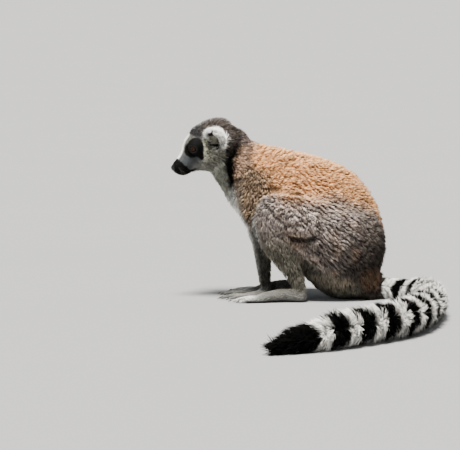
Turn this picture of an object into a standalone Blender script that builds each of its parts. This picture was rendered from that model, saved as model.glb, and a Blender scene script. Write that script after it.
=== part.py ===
"""Ring-tailed lemur, life size, crouched on a flat floor with its tail laid out on its left side.

The animal faces -X and its left side is towards -Y.  Z is up, and the origin is the middle of the
flat that it sits on.  Every size below is in millimetres and measures the outline out to the tips
of the coat.  The body is modelled whole from a few tubes and ellipsoids, fused, levelled at the
floor and then parted with thin cuts into the pieces that a person would name.  The tail is swept
along its own line in a few lengths that meet end to end.
"""
import math

import bmesh
import bpy
from mathutils import Matrix, Vector

MM = 0.001
GAP = 0.4             # the parting cut between two neighbouring pieces
SIDES = {"left": -1, "right": 1}
CROSSWISE = Vector((0, 1, 0))
UPWARDS = Vector((0, 0, 1))

SOFT_VOXEL = 2.6      # fusing grid of the large masses
FINE_VOXEL = 1.5      # fusing grid once digits and ears are on
SOFT_PASSES = 14      # smoothing passes that fill the creases between the large masses
FINE_PASSES = 2
BODY_TRIANGLES = 4400
FLAT_ANGLE = 5        # degrees between two facets that count as one flat
SHARP_ANGLE = 50      # degrees between two facets past which their edge is shown sharp
REGION_SIDES = 8      # sides of a tube that marks where a piece is parted off

# ---------------------------------------------------------------- the trunk and neck
# Each section: back point x, z, then belly point x, z, then half width.
TRUNK = [
    (-156, 226, -184, 166, 25),
    (-140, 215, -173, 150, 27),
    (-126, 203, -163, 136, 31),
    (-112, 198, -155, 120, 37),
    (-91, 193, -135, 98, 42),
    (-63, 188, -106, 70, 46),
    (-31, 179, -80, 46, 50),
    (3, 163, -60, 28, 54),
    (29, 131, -45, 13, 55),
    (43, 94, -32, 4, 53),
    (46, 62, -16, -2, 47),
    (39, 34, 6, -2, 36),
]

# ---------------------------------------------------------------- the head
HEAD_YAW = 12         # degrees that the face is turned to its left
NECK_PIVOT = (-148, 0, 190)
# Each section: brow-side point x, z, then jaw-side point x, z, then half width, nose first.
HEAD = [
    (-229.5, 170, -228, 164.5, 5),
    (-227.5, 174, -223.5, 160.5, 8),
    (-223, 179.5, -217, 158, 10),
    (-218, 186.5, -209.5, 158.5, 12),
    (-215.5, 193.5, -202, 161.5, 14),
    (-214.5, 201, -193, 163, 17.5),
    (-210, 209, -184, 163, 23.5),
    (-200, 219.5, -176, 163, 28.5),
    (-187, 227, -166, 167, 30),
    (-173, 230.5, -156, 174, 29),
    (-159, 229, -147, 183, 25),
    (-147, 220, -141, 193, 17),
]
EYE_RADIUS = 7.6
EYE_CENTRE = (-201, 15.4, 195)
ORBIT_RADII = (11.5, 11.5, 11.5)
ORBIT_SET_BACK = 7.5                 # how far the middle of the orbit's mass lies behind the eye's
EYE_SPLAY = 36                     # degrees between the eye's axis and the midline
FACE_PITCH = 24                    # degrees that the face looks down
NOSE_PAD = ((-226, 0, 168), (5.5, 6.5, 5.5))       # centre, radii
LIP = ((-217, 4, 164.5), (9, 5.5, 6))
CHIN = ((-213, 0, 162), (9, 6.5, 4.5))
MUZZLE_SECTIONS = 6                # of the head's sections, those that are fused again unsoftened
EAR_CENTRE = (-177.5, 32, 206.5)
EAR_AXIS = (0.14, 0.54, 0.82)      # from the ear's root to its tip
EAR_FACING = (-0.88, 0.45, -0.12)  # the way that the ear opens
EAR_RADII = (19.5, 12, 15.5)       # along its axis, through it, across it
EAR_SCOOP = (14.5, 10, 10.5)
EAR_SCOOP_SHIFT = 9

# ---------------------------------------------------------------- the limbs
# Each station: x, distance from the midline, z, half width, half depth.
THIGH = [(-14, 40, 74, 26, 46), (-62, 50, 101, 22, 35), (-104, 53, 121, 16, 20)]
SHANK = [(-109, 53, 106, 14, 16), (-92, 52, 70, 14, 19), (-76, 49, 42, 11, 14.5), (-65, 48, 19, 9, 10)]
UPPER_ARM = [(-122, 27, 152, 16, 24), (-127, 33, 120, 14, 18), (-117, 35, 86, 12, 14)]
FOREARM = [(-116, 35, 84, 11.5, 13.5), (-112, 33, 60, 10.5, 12), (-110, 28, 36, 9, 10),
           (-107.5, 22, 13, 7, 7.5)]
FOOT = [(-64, 48, 9, 8.5, 10), (-86, 48.5, 9.5, 8.5, 8), (-106, 50, 7, 11, 6.5), (-115, 51, 5, 12, 5.5)]
HAND = [(-107, 22, 9, 7.5, 7.5), (-119, 21, 5.3, 9.5, 6), (-131, 20.5, 4, 10.5, 5)]
DIGIT_SINK = 0.8      # how far a round sole or finger pad is flattened by the floor

# Each digit: root x, root distance from the midline, length, bearing outwards in degrees, radius.
TOES = [
    (-99, 41, 25, -38, 4.6),
    (-115, 43.5, 23, -10, 3.4),
    (-118, 48.5, 28, -3, 3.4),
    (-119, 54, 33, 5, 3.4),
    (-116, 59.5, 27, 15, 3.3),
]
FINGERS = [
    (-120, 14.5, 16, -42, 3.3),
    (-134, 13, 22, -18, 3.0),
    (-136, 18, 27, -7, 3.0),
    (-136, 23.5, 30, 4, 3.0),
    (-133, 28, 23, 18, 3.0),
]
KNUCKLE_RISE = 2.6    # how far the middle of a digit arches off the floor

# Boxes, lowest and highest corner on the right side, that hold one hand or one foot.
HAND_BOX = ((-200, 0, -10), (-94, 37.5, 15))
FOOT_BOX = ((-200, 37.5, -10), (-48, 90, 17))

# ---------------------------------------------------------------- the tail
TAIL_ROOT = (22, 0)
TAIL_LENGTH = 610
TAIL_STEPS = 30
# Share of the tail's length, then the degrees that it has turned from +X towards -Y there.
TAIL_BEARING = [(0, 22), (0.1, 62), (0.24, 88), (0.5, 103), (0.8, 132), (1, 152)]
# Share of the tail's length, then its radius there.
TAIL_GIRTH = [(0, 15), (0.07, 15), (0.2, 19.5), (0.35, 22.5), (0.5, 24.5), (0.7, 25), (0.85, 23.5),
              (0.95, 17), (1, 9)]
TAIL_SINK = 2.0                    # how far its round underside is flattened by the floor
TAIL_CUTS = (0.23, 0.42, 0.61, 0.8)
TAIL_START = 1                     # the step of its path at which the tail leaves the rump
TAIL_SIDES = 16
TAIL_CAP_RINGS = 2

# ---------------------------------------------------------------- where the body is parted
CUTTER_REACH = 500
HEAD_CUT = ((-160, 0, 187), (-0.79, 0, 0.61))      # a point on the plane, and the way to the head
NECK_CUT = ((-139, 0, 166), (-0.86, 0, 0.50))
EAR_CUT_RISE = 5                   # how far the ear's cutter stands above the ear's middle
EAR_CUT_RADII = (21, 15, 20)


def clear_scene():
    for obj in list(bpy.data.objects):
        bpy.data.objects.remove(obj)


def link(name, mesh):
    obj = bpy.data.objects.new(name, mesh)
    bpy.context.scene.collection.objects.link(obj)
    return obj


def smooth_between(rows, steps):
    """Rows of numbers with `steps` rows for each given one, on a Catmull-Rom curve through them."""
    filled = []
    for i in range(len(rows) - 1):
        before, a, b, after = rows[max(i - 1, 0)], rows[i], rows[i + 1], rows[min(i + 2, len(rows) - 1)]
        for step in range(steps):
            t = step / steps
            filled.append([
                0.5 * (2 * q + (r - p) * t + (2 * p - 5 * q + 4 * r - s) * t * t
                       + (3 * q - p - 3 * r + s) * t ** 3)
                for p, q, r, s in zip(before, a, b, after)
            ])
    filled.append(list(rows[-1]))
    return filled


def skin_rings(name, rings, sides=28, cap_rings=4, round_ends=(True, True)):
    """A closed tube over elliptic rings (centre and two semi-axes), with a round or flat cap at each end."""
    def capped(end, neighbour):
        centre, across, deep = end
        outwards = (centre - neighbour[0]).normalized() * min(across.length, deep.length)
        angles = [math.pi / 2 * k / (cap_rings + 1) for k in range(1, cap_rings + 1)]
        cap = [(centre + outwards * math.sin(a), across * math.cos(a), deep * math.cos(a)) for a in angles]
        return cap, centre + outwards

    head_cap, head_pole = capped(rings[0], rings[1]) if round_ends[0] else ([], rings[0][0])
    tail_cap, tail_pole = capped(rings[-1], rings[-2]) if round_ends[1] else ([], rings[-1][0])
    rings = head_cap[::-1] + rings + tail_cap
    shape = bmesh.new()
    loops = []
    for centre, across, deep in rings:
        turns = [2 * math.pi * k / sides for k in range(sides)]
        around = [centre + across * math.cos(turn) + deep * math.sin(turn) for turn in turns]
        loops.append([shape.verts.new(point * MM) for point in around])
    for near, far in zip(loops, loops[1:]):
        for k in range(sides):
            shape.faces.new((near[k], near[(k + 1) % sides], far[(k + 1) % sides], far[k]))
    for pole, loop in ((head_pole, loops[0]), (tail_pole, loops[-1])):
        tip = shape.verts.new(pole * MM)
        for k in range(sides):
            shape.faces.new((loop[k], loop[(k + 1) % sides], tip))
    bmesh.ops.recalc_face_normals(shape, faces=shape.faces)
    mesh = bpy.data.meshes.new(name)
    shape.to_mesh(mesh)
    shape.free()
    return link(name, mesh)


def barrel(name, sections, steps=4):
    """A tube given by its upper and lower outline on the midline and its half width."""
    rings = []
    for top_x, top_z, low_x, low_z, half_width in smooth_between(sections, steps):
        top, low = Vector((top_x, 0, top_z)), Vector((low_x, 0, low_z))
        rings.append(((top + low) / 2, CROSSWISE * half_width, (top - low) / 2))
    return skin_rings(name, rings)


def limb(name, stations, side, reference=CROSSWISE, steps=5, grow=0.0, sides=20, cap_rings=4):
    """A tube through stations (x, distance from midline, z, half width, half depth)."""
    path = smooth_between(stations, steps)
    centres = [Vector((x, side * y, z)) for x, y, z, _, _ in path]
    rings = []
    for i, (_, _, _, half_width, half_depth) in enumerate(path):
        along = (centres[min(i + 1, len(path) - 1)] - centres[max(i - 1, 0)]).normalized()
        first = (reference - along * reference.dot(along)).normalized()
        second = along.cross(first)
        if reference is UPWARDS:
            first, second = second, first
        rings.append((centres[i], first * (half_width + grow), second * (half_depth + grow)))
    return skin_rings(name, rings, sides=sides, cap_rings=cap_rings)


def ellipsoid(name, centre, radii, axes=(Vector((1, 0, 0)), Vector((0, 1, 0)), Vector((0, 0, 1))), detail=4):
    """An ellipsoid with its three radii along three given axes."""
    shape = bmesh.new()
    bmesh.ops.create_icosphere(shape, subdivisions=detail, radius=1)
    basis = Matrix([axis * radius * MM for axis, radius in zip(axes, radii)]).transposed().to_4x4()
    bmesh.ops.transform(shape, matrix=Matrix.Translation(Vector(centre) * MM) @ basis, verts=shape.verts)
    bmesh.ops.recalc_face_normals(shape, faces=shape.faces)
    mesh = bpy.data.meshes.new(name)
    shape.to_mesh(mesh)
    shape.free()
    return link(name, mesh)


def block(name, low, high):
    """A box from its lowest to its highest corner."""
    shape = bmesh.new()
    bmesh.ops.create_cube(shape, size=1)
    for vert in shape.verts:
        vert.co = [(a if c < 0 else b) * MM for a, b, c in zip(low, high, vert.co)]
    mesh = bpy.data.meshes.new(name)
    shape.to_mesh(mesh)
    shape.free()
    return link(name, mesh)


def mirrored(point, side):
    return Vector((point[0], side * point[1], point[2]))


def square_axes(main, facing):
    """Three square axes: main, facing made square to it, and the one across both."""
    main = Vector(main).normalized()
    facing = Vector(facing)
    facing = (facing - main * facing.dot(main)).normalized()
    return main, facing, main.cross(facing)


def settled(obj, *modifiers):
    """obj with these modifiers (type, settings) worked into its mesh."""
    for kind, settings in modifiers:
        modifier = obj.modifiers.new(kind.title(), kind)
        for key, value in settings.items():
            setattr(modifier, key, value)
    graph = bpy.context.evaluated_depsgraph_get()
    mesh = bpy.data.meshes.new_from_object(obj.evaluated_get(graph))
    obj.modifiers.clear()
    obj.data = mesh
    return obj


def boolean(obj, other, operation):
    return settled(obj, ("BOOLEAN", {"object": other, "operation": operation, "solver": "EXACT"}))


def fused(name, parts, voxel, passes):
    """One closed surface round several overlapping parts, with their creases softened."""
    joined = bmesh.new()
    for part in parts:
        joined.from_mesh(part.data)
        bpy.data.objects.remove(part)
    mesh = bpy.data.meshes.new(name)
    joined.to_mesh(mesh)
    joined.free()
    return settled(
        link(name, mesh),
        ("REMESH", {"mode": "VOXEL", "voxel_size": voxel * MM, "adaptivity": 0}),
        ("SMOOTH", {"factor": 0.5, "iterations": passes}),
    )


def largest_piece(obj):
    """Drops the crumbs that a cut left beside the main piece, and leaves it in triangles."""
    shape = bmesh.new()
    shape.from_mesh(obj.data)
    unseen, islands = set(shape.verts), []
    while unseen:
        island, edge_of = set(), [unseen.pop()]
        while edge_of:
            vert = edge_of.pop()
            island.add(vert)
            for edge in vert.link_edges:
                other = edge.other_vert(vert)
                if other in unseen:
                    unseen.remove(other)
                    edge_of.append(other)
        islands.append(island)
    keep = max(islands, key=len)
    bmesh.ops.delete(shape, geom=[v for v in shape.verts if v not in keep], context="VERTS")
    bmesh.ops.triangulate(shape, faces=shape.faces)
    shape.to_mesh(obj.data)
    shape.free()
    return obj


def fewer_facets(obj):
    """Makes one flat of neighbouring facets that lie almost level with each other."""
    shape = bmesh.new()
    shape.from_mesh(obj.data)
    bmesh.ops.dissolve_limit(shape, angle_limit=math.radians(FLAT_ANGLE), verts=shape.verts,
                             edges=shape.edges)
    bmesh.ops.triangulate(shape, faces=shape.faces)
    shape.to_mesh(obj.data)
    shape.free()
    return obj


# ---------------------------------------------------------------- the parts of the animal
def turned_with_head(obj):
    """Turns a piece modelled on the midline with the head, about the neck."""
    pivot = Matrix.Translation(Vector(NECK_PIVOT) * MM)
    obj.data.transform(pivot @ Matrix.Rotation(math.radians(HEAD_YAW), 4, "Z") @ pivot.inverted())
    return obj


def eye_axis(side):
    """The way that an eye looks, before the head is turned."""
    splay, pitch = math.radians(EYE_SPLAY), math.radians(FACE_PITCH)
    forwards = Vector((-math.cos(pitch), 0, -math.sin(pitch)))
    return forwards * math.cos(splay) + CROSSWISE * side * math.sin(splay)


def face_masses():
    """What stands out of the skull: the muzzle, its nose pad and lips, and the rims of the orbits."""
    masses = [barrel("muzzle", HEAD[:MUZZLE_SECTIONS])]
    masses += [ellipsoid("nose_pad", *NOSE_PAD), ellipsoid("chin", *CHIN)]
    for side in SIDES.values():
        masses.append(ellipsoid("lip", mirrored(LIP[0], side), LIP[1]))
        orbit = mirrored(EYE_CENTRE, side) - eye_axis(side) * ORBIT_SET_BACK
        masses.append(ellipsoid("orbit", orbit, ORBIT_RADII))
    return [turned_with_head(mass) for mass in masses]


def ear_shape(side):
    axes = square_axes(mirrored(EAR_AXIS, side), mirrored(EAR_FACING, side))
    centre = mirrored(EAR_CENTRE, side)
    ear = ellipsoid("pinna", centre, EAR_RADII, axes)
    scoop = ellipsoid("scoop", centre + axes[1] * EAR_SCOOP_SHIFT, EAR_SCOOP, axes)
    boolean(ear, scoop, "DIFFERENCE")
    bpy.data.objects.remove(scoop)
    return turned_with_head(ear)


def digit(name, spec, side):
    """One finger or toe: a round tube that arches a little off the floor and ends in a pad."""
    x, y, length, bearing, radius = spec
    way = Vector((-math.cos(math.radians(bearing)), math.sin(math.radians(bearing))))
    rest = radius - DIGIT_SINK
    profile = [(-0.25, rest + 1.5, 1.0), (0.15, rest + 0.8 * KNUCKLE_RISE, 0.95),
               (0.5, rest + KNUCKLE_RISE, 0.92), (0.8, rest + 0.35 * KNUCKLE_RISE, 0.85), (0.97, rest, 0.86)]
    stations = [(x + way.x * length * share, y + way.y * length * share, z, radius * girth, radius * girth)
                for share, z, girth in profile]
    return limb(name, stations, side, reference=UPWARDS, steps=3)


def limb_masses(side):
    return [
        limb("thigh", THIGH, side),
        limb("shank", SHANK, side),
        limb("upper_arm", UPPER_ARM, side),
        limb("forearm", FOREARM, side),
    ]


def extremities(side):
    feet = [limb("foot", FOOT, side, reference=UPWARDS), limb("hand", HAND, side, reference=UPWARDS)]
    return feet + [digit("digit", spec, side) for spec in TOES + FINGERS]


def eased(table, share):
    """The value at a share of the tail's length, eased between the rows of a table."""
    for (a, near), (b, far) in zip(table, table[1:]):
        if share <= b:
            blend = (share - a) / (b - a)
            return near + (far - near) * blend * blend * (3 - 2 * blend)
    return table[-1][1]


def tail_path():
    """Points (x, y, z, radius, bearing) along the tail, laid on the floor in one easy curve."""
    step = TAIL_LENGTH / TAIL_STEPS
    x, y = TAIL_ROOT
    points = []
    for i in range(TAIL_STEPS + 1):
        share = i / TAIL_STEPS
        radius = eased(TAIL_GIRTH, share)
        bearing = math.radians(eased(TAIL_BEARING, share))
        points.append((x, y, radius - TAIL_SINK, radius, bearing))
        x += step * math.cos(bearing)
        y -= step * math.sin(bearing)
    return points


def tail_rings(first, last, grow=0.0):
    """The tail's rings between two of its steps, flattened where they lie on the floor."""
    rings = []
    for x, y, z, radius, bearing in tail_path()[first:last + 1]:
        across = Vector((math.sin(bearing), math.cos(bearing), 0))
        rings.append((Vector((x, y, z)), across * (radius + grow), UPWARDS * (radius + grow)))
    return rings


def levelled(obj):
    """Lifts what would lie under the floor up to it, which leaves a narrow flat."""
    for vert in obj.data.vertices:
        vert.co.z = max(vert.co.z, 0)
    return obj


def tail_pieces():
    """The tail in a few lengths, each ending in a flat that faces its neighbour across a gap."""
    ends = [TAIL_START] + [round(share * TAIL_STEPS) for share in TAIL_CUTS] + [TAIL_STEPS]
    pieces = []
    for i, (first, last) in enumerate(zip(ends, ends[1:])):
        rings = tail_rings(first, last)
        if i:
            centre, across, deep = rings[0]
            rings[0] = (centre + (rings[1][0] - centre).normalized() * GAP, across, deep)
        round_ends = (i == 0, last == TAIL_STEPS)
        pieces.append(levelled(skin_rings(f"tail_{i + 1}", rings, TAIL_SIDES, TAIL_CAP_RINGS, round_ends)))
    return pieces


def whole_body():
    """The whole animal as one closed surface, level with the floor underneath."""
    masses = [barrel("trunk", TRUNK), turned_with_head(barrel("skull", HEAD))]
    for side in SIDES.values():
        masses += limb_masses(side)
    soft = fused("soft_masses", masses, SOFT_VOXEL, SOFT_PASSES)
    details = face_masses() + [ear_shape(side) for side in SIDES.values()]
    for side in SIDES.values():
        details += extremities(side)
    body = fused("body", [soft] + details, FINE_VOXEL, FINE_PASSES)
    triangles = sum(len(face.vertices) - 2 for face in body.data.polygons)
    settled(body, ("DECIMATE", {"ratio": BODY_TRIANGLES / triangles}))
    floor = block("floor", (-400, -600, -50), (900, 400, 0))
    boolean(body, floor, "DIFFERENCE")
    bpy.data.objects.remove(floor)
    return largest_piece(body)


# ---------------------------------------------------------------- parting the body
def part_off(body, name, region):
    """Takes what lies inside region(grow) off the body as a piece of its own, a gap away from the rest."""
    piece = link(name, body.data.copy())
    inside, outside = region(0.0), region(GAP)
    boolean(piece, inside, "INTERSECT")
    boolean(body, outside, "DIFFERENCE")
    bpy.data.objects.remove(inside)
    bpy.data.objects.remove(outside)
    largest_piece(body)
    return largest_piece(piece)


def round_the_ear(side):
    axes = square_axes(mirrored(EAR_AXIS, side), mirrored(EAR_FACING, side))
    centre = mirrored(EAR_CENTRE, side) + axes[0] * EAR_CUT_RISE

    def region(grow):
        radii = [radius + grow for radius in EAR_CUT_RADII]
        return turned_with_head(ellipsoid("region", centre, radii, axes, detail=2))
    return region


def inside_box(low, high, side):
    def region(grow):
        a, b = mirrored(low, side), mirrored(high, side)
        ends = [(min(p, q) - grow, max(p, q) + grow) for p, q in zip(a, b)]
        return block("region", [e[0] for e in ends], [e[1] for e in ends])
    return region


def round_the_limb(stations, side, margin, outwards=0.0):
    """A tube wider than the limb by a margin, and shifted away from the trunk."""
    shifted = [(x, y + outwards, z, half_width, half_depth) for x, y, z, half_width, half_depth in stations]

    def region(grow):
        return limb("region", shifted, side, steps=1, grow=margin + grow, sides=REGION_SIDES, cap_rings=1)
    return region


def beyond(point, way):
    """Everything past a plane through point, on the side that way points to."""
    turn = Vector(way).to_track_quat("X", "Z").to_matrix().to_4x4()

    def region(grow):
        cutter = block("region", (-grow, -CUTTER_REACH, -CUTTER_REACH),
                       (2 * CUTTER_REACH, CUTTER_REACH, CUTTER_REACH))
        cutter.data.transform(Matrix.Translation(Vector(point) * MM) @ turn)
        return cutter
    return region


def eyeball(side):
    return turned_with_head(ellipsoid("eyeball", mirrored(EYE_CENTRE, side), [EYE_RADIUS] * 3, detail=3))


def socket(side):
    radii = [EYE_RADIUS + 2 * GAP] * 3
    return turned_with_head(ellipsoid("socket", mirrored(EYE_CENTRE, side), radii, detail=2))


def parted(body):
    """Every piece of the animal, taken off one after the other, ending with the trunk that is left."""
    first_length = tail_rings(TAIL_START, round(TAIL_CUTS[0] * TAIL_STEPS), GAP)
    tail_socket = skin_rings("socket", first_length, TAIL_SIDES, TAIL_CAP_RINGS)
    boolean(body, tail_socket, "DIFFERENCE")
    bpy.data.objects.remove(tail_socket)
    pieces = tail_pieces()
    for word, side in SIDES.items():
        pieces += [
            part_off(body, f"ear_{word}", round_the_ear(side)),
            part_off(body, f"hand_{word}", inside_box(*HAND_BOX, side)),
            part_off(body, f"foot_{word}", inside_box(*FOOT_BOX, side)),
            part_off(body, f"forearm_{word}", round_the_limb(FOREARM, side, margin=4)),
            part_off(body, f"upper_arm_{word}", round_the_limb(UPPER_ARM, side, margin=2, outwards=4)),
            part_off(body, f"shank_{word}", round_the_limb(SHANK, side, margin=3, outwards=2)),
            part_off(body, f"thigh_{word}", round_the_limb(THIGH, side, margin=2, outwards=8)),
        ]
    head = part_off(body, "head", beyond(*HEAD_CUT))
    pieces += [head, part_off(body, "neck", beyond(*NECK_CUT))]
    for word, side in SIDES.items():
        cutter = socket(side)
        boolean(head, cutter, "DIFFERENCE")
        bpy.data.objects.remove(cutter)
        eye = eyeball(side)
        eye.name = f"eye_{word}"
        pieces.append(eye)
    largest_piece(head)
    body.name = "trunk"
    return pieces + [body]


# ---------------------------------------------------------------- materials
COLOURS = {
    "eye": (0.45, 0.16, 0.03),
    "ear": (0.80, 0.79, 0.76),
    "head": (0.55, 0.54, 0.52),
    "neck": (0.20, 0.17, 0.16),
    "trunk": (0.52, 0.34, 0.21),
    "hand": (0.62, 0.60, 0.58),
    "foot": (0.62, 0.60, 0.58),
    "forearm": (0.33, 0.31, 0.29),
    "upper_arm": (0.33, 0.25, 0.19),
    "shank": (0.36, 0.33, 0.29),
    "thigh": (0.36, 0.32, 0.29),
    "tail": (0.30, 0.29, 0.28),
}
FUR_ROUGHNESS, EYE_ROUGHNESS = 0.85, 0.08


def coat_materials():
    made = {}
    for kind, colour in COLOURS.items():
        material = bpy.data.materials.new(kind)
        material.use_nodes = True
        shader = material.node_tree.nodes["Principled BSDF"]
        shader.inputs["Base Color"].default_value = (*colour, 1)
        shader.inputs["Roughness"].default_value = EYE_ROUGHNESS if kind == "eye" else FUR_ROUGHNESS
        made[kind] = material
    return made


def main():
    clear_scene()
    pieces = parted(whole_body())
    materials = coat_materials()
    for piece in pieces:
        fewer_facets(piece)
        kind = next(kind for kind in COLOURS if piece.name.startswith(kind))
        piece.data.materials.clear()
        piece.data.materials.append(materials[kind])
        piece.data.name = piece.name
        piece.data.shade_smooth()
        piece.data.set_sharp_from_angle(angle=math.radians(SHARP_ANGLE))


main()
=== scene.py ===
"""The looks of a life-size ring-tailed lemur: one skin with its face and folds, eyes, nails, whiskers, and a
coat of solid tufts that follow the lie of the fur.  Lengths are in mm unless a name ends in _m or _M."""

import math

import bmesh
import bpy
import numpy as np
from mathutils import Matrix, Vector, noise
from mathutils.kdtree import KDTree


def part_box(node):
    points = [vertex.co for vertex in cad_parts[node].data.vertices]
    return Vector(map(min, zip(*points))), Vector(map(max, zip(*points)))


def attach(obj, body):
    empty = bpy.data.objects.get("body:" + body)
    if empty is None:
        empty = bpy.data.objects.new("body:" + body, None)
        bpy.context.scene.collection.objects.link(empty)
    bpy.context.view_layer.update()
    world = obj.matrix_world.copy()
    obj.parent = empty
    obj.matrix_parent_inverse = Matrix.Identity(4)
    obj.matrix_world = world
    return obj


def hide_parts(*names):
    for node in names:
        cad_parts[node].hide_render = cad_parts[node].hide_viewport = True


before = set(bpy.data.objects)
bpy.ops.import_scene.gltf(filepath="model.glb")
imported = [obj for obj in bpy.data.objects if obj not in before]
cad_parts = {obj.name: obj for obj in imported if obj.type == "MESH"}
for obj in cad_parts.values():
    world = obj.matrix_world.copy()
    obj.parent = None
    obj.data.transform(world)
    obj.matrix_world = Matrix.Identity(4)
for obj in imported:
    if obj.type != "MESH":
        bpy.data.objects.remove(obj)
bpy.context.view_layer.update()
MM = 0.001


# ----------------------------------------------------------------------------------------------------
# The camera and the studio.  A level view of the animal's left side from a low tripod, a pale floor that runs
# out of sight, one broad soft light overhead and a weaker one beside the camera.
VIEW_WIDTH_M = 0.5888
VIEW_DISTANCE_M = 3.5
VIEW_ELEVATION = math.radians(5.5)
VIEW_TARGET_M = Vector((-0.1536, 0, 0.0934))
SENSOR_MM = 36
WORLD_TINT = (0.78, 0.82, 0.86, 1)
WORLD_STRENGTH = 0.45
FLOOR_SIZE_M = 400
FLOOR_CELLS = 40
FLOOR_TONES = (0.245, 0.247, 0.245, 1), (0.262, 0.262, 0.259, 1)

camera = bpy.data.objects.new("camera", bpy.data.cameras.new("camera"))
bpy.context.scene.collection.objects.link(camera)
back = Vector((0, -math.cos(VIEW_ELEVATION), math.sin(VIEW_ELEVATION)))
camera.location = VIEW_TARGET_M + back * VIEW_DISTANCE_M
camera.rotation_euler = (-back).to_track_quat("-Z", "Y").to_euler()
camera.data.sensor_width = SENSOR_MM
camera.data.lens = SENSOR_MM * VIEW_DISTANCE_M / VIEW_WIDTH_M
bpy.context.scene.camera = camera


def lamp(name, came_from, spread, strength, colour):
    """A broad soft light from far away, spread over some degrees of the sky."""
    light = bpy.data.lights.new(name, "SUN")
    light.angle = math.radians(spread)
    light.energy = strength
    light.color = colour
    obj = bpy.data.objects.new(name, light)
    obj.rotation_euler = (-Vector(came_from)).to_track_quat("-Z", "Y").to_euler()
    bpy.context.scene.collection.objects.link(obj)


lamp("light_overhead", came_from=(-0.10, -0.30, 1), spread=16, strength=15.0, colour=(1.0, 0.97, 0.92))
lamp("light_beside_camera", came_from=(-0.5, -1, 0.45), spread=14, strength=0.375, colour=(0.93, 0.96, 1.0))

world = bpy.data.worlds.new("studio")
world.use_nodes = True
world.node_tree.nodes["Background"].inputs["Color"].default_value = WORLD_TINT
world.node_tree.nodes["Background"].inputs["Strength"].default_value = WORLD_STRENGTH
bpy.context.scene.world = world


class Shade:
    """A socket that Python's arithmetic works on, each step as a Math node of its graph."""

    def __init__(self, graph, socket):
        self.graph = graph
        self.socket = socket

    def worked(self, operation, *values):
        return self.graph.make("ShaderNodeMath", {"operation": operation}, dict(enumerate(values)))

    def __add__(self, other):
        return self.worked("ADD", self, other)

    def __sub__(self, other):
        return self.worked("SUBTRACT", self, other)

    def __mul__(self, other):
        return self.worked("MULTIPLY", self, other)

    def __rsub__(self, other):
        return self.worked("SUBTRACT", other, self)

    __radd__ = __add__
    __rmul__ = __mul__


class Graph:
    """A node tree under construction, with one way to add any node."""

    def __init__(self, tree):
        self.tree = tree

    def make(self, kind, settings=None, values=None, output=0):
        """A node of this kind with its settings and its sockets' values or links, as its output socket."""
        node = self.tree.nodes.new(kind)
        for key, value in (settings or {}).items():
            setattr(node, key, value)
        for key, value in (values or {}).items():
            if isinstance(value, Shade):
                self.tree.links.new(value.socket, node.inputs[key])
            else:
                node.inputs[key].default_value = value
        return Shade(self, node.outputs[output])


class Finish(Graph):
    """A material under construction: a Principled shader and what feeds it."""

    def __init__(self, name, **constants):
        self.material = bpy.data.materials.new(name)
        self.material.use_nodes = True
        super().__init__(self.material.node_tree)
        self.shader = self.tree.nodes["Principled BSDF"]
        for socket, value in constants.items():
            self.shader.inputs[socket.replace("_", " ")].default_value = value

    def put(self, socket, value):
        self.tree.links.new(value.socket, self.shader.inputs[socket])

    def noise(self, scale, detail=2.0):
        """A cloudy value over Object coordinates, which keep it on the piece."""
        place = self.make("ShaderNodeTexCoord", output="Object")
        return self.make("ShaderNodeTexNoise", {}, {"Vector": place, "Scale": scale, "Detail": detail})

    def attribute(self, name, output="Fac"):
        return self.make("ShaderNodeAttribute", {"attribute_name": name}, output=output)

    def mixed(self, share, first, second, blend="MIX"):
        """A colour between two, or the first changed by the second."""
        return self.make("ShaderNodeMix", {"data_type": "RGBA", "blend_type": blend},
                         {0: share, 6: first, 7: second}, output=2)

    def bump(self, height, strength, distance_m):
        self.put("Normal", self.make("ShaderNodeBump", {}, {"Height": height, "Strength": strength,
                                                            "Distance": distance_m}))


def mesh_of(shape, name):
    """A finished bmesh as a mesh."""
    mesh = bpy.data.meshes.new(name)
    shape.to_mesh(mesh)
    shape.free()
    return mesh


def linked(name, mesh):
    obj = bpy.data.objects.new(name, mesh)
    bpy.context.scene.collection.objects.link(obj)
    return obj


floor_shape = bmesh.new()
bmesh.ops.create_grid(floor_shape, x_segments=FLOOR_CELLS, y_segments=FLOOR_CELLS, size=FLOOR_SIZE_M / 2)
floor = linked("floor", mesh_of(floor_shape, "floor"))
floor_finish = Finish("floor_paint", Roughness=0.75)
floor_finish.put("Base Color", floor_finish.mixed(floor_finish.noise(3.0), *FLOOR_TONES))
floor.data.materials.append(floor_finish.material)


# ----------------------------------------------------------------------------------------------------
# The head's own directions, taken from the two eyes: forwards along the face, leftwards, and up.  Every place
# on the face is given in them, in millimetres from the point midway between the eyes.
EYE_SIDES = {"left": 1, "right": -1}
eye_centres = {side: (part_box(f"eye_{side}")[0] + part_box(f"eye_{side}")[1]) / 2 / MM for side in EYE_SIDES}
eye_radius = (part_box("eye_left")[1].z - eye_centres["left"].z * MM) / MM
head_middle = (eye_centres["left"] + eye_centres["right"]) / 2
leftwards = (eye_centres["left"] - eye_centres["right"]).normalized()
upwards = Vector((0, 0, 1))
forwards = leftwards.cross(upwards).normalized()
head_axes = np.array([forwards, leftwards, upwards])


def on_head(forward, left, up):
    """The world place, in mm, of a place on the head."""
    return head_middle + forwards * forward + leftwards * left + upwards * up


def head_way(forward, left, up):
    return (forwards * forward + leftwards * left + upwards * up).normalized()


def head_places(points):
    """World points as (forward, left, up) from between the eyes."""
    return (points - np.array(head_middle)) @ head_axes.T


def ramp(values, low, high):
    """0 below low, 1 above high, and an easy curve between.  low may be the larger one."""
    share = np.clip((values - low) / (high - low), 0, 1)
    return share * share * (3 - 2 * share)


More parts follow.
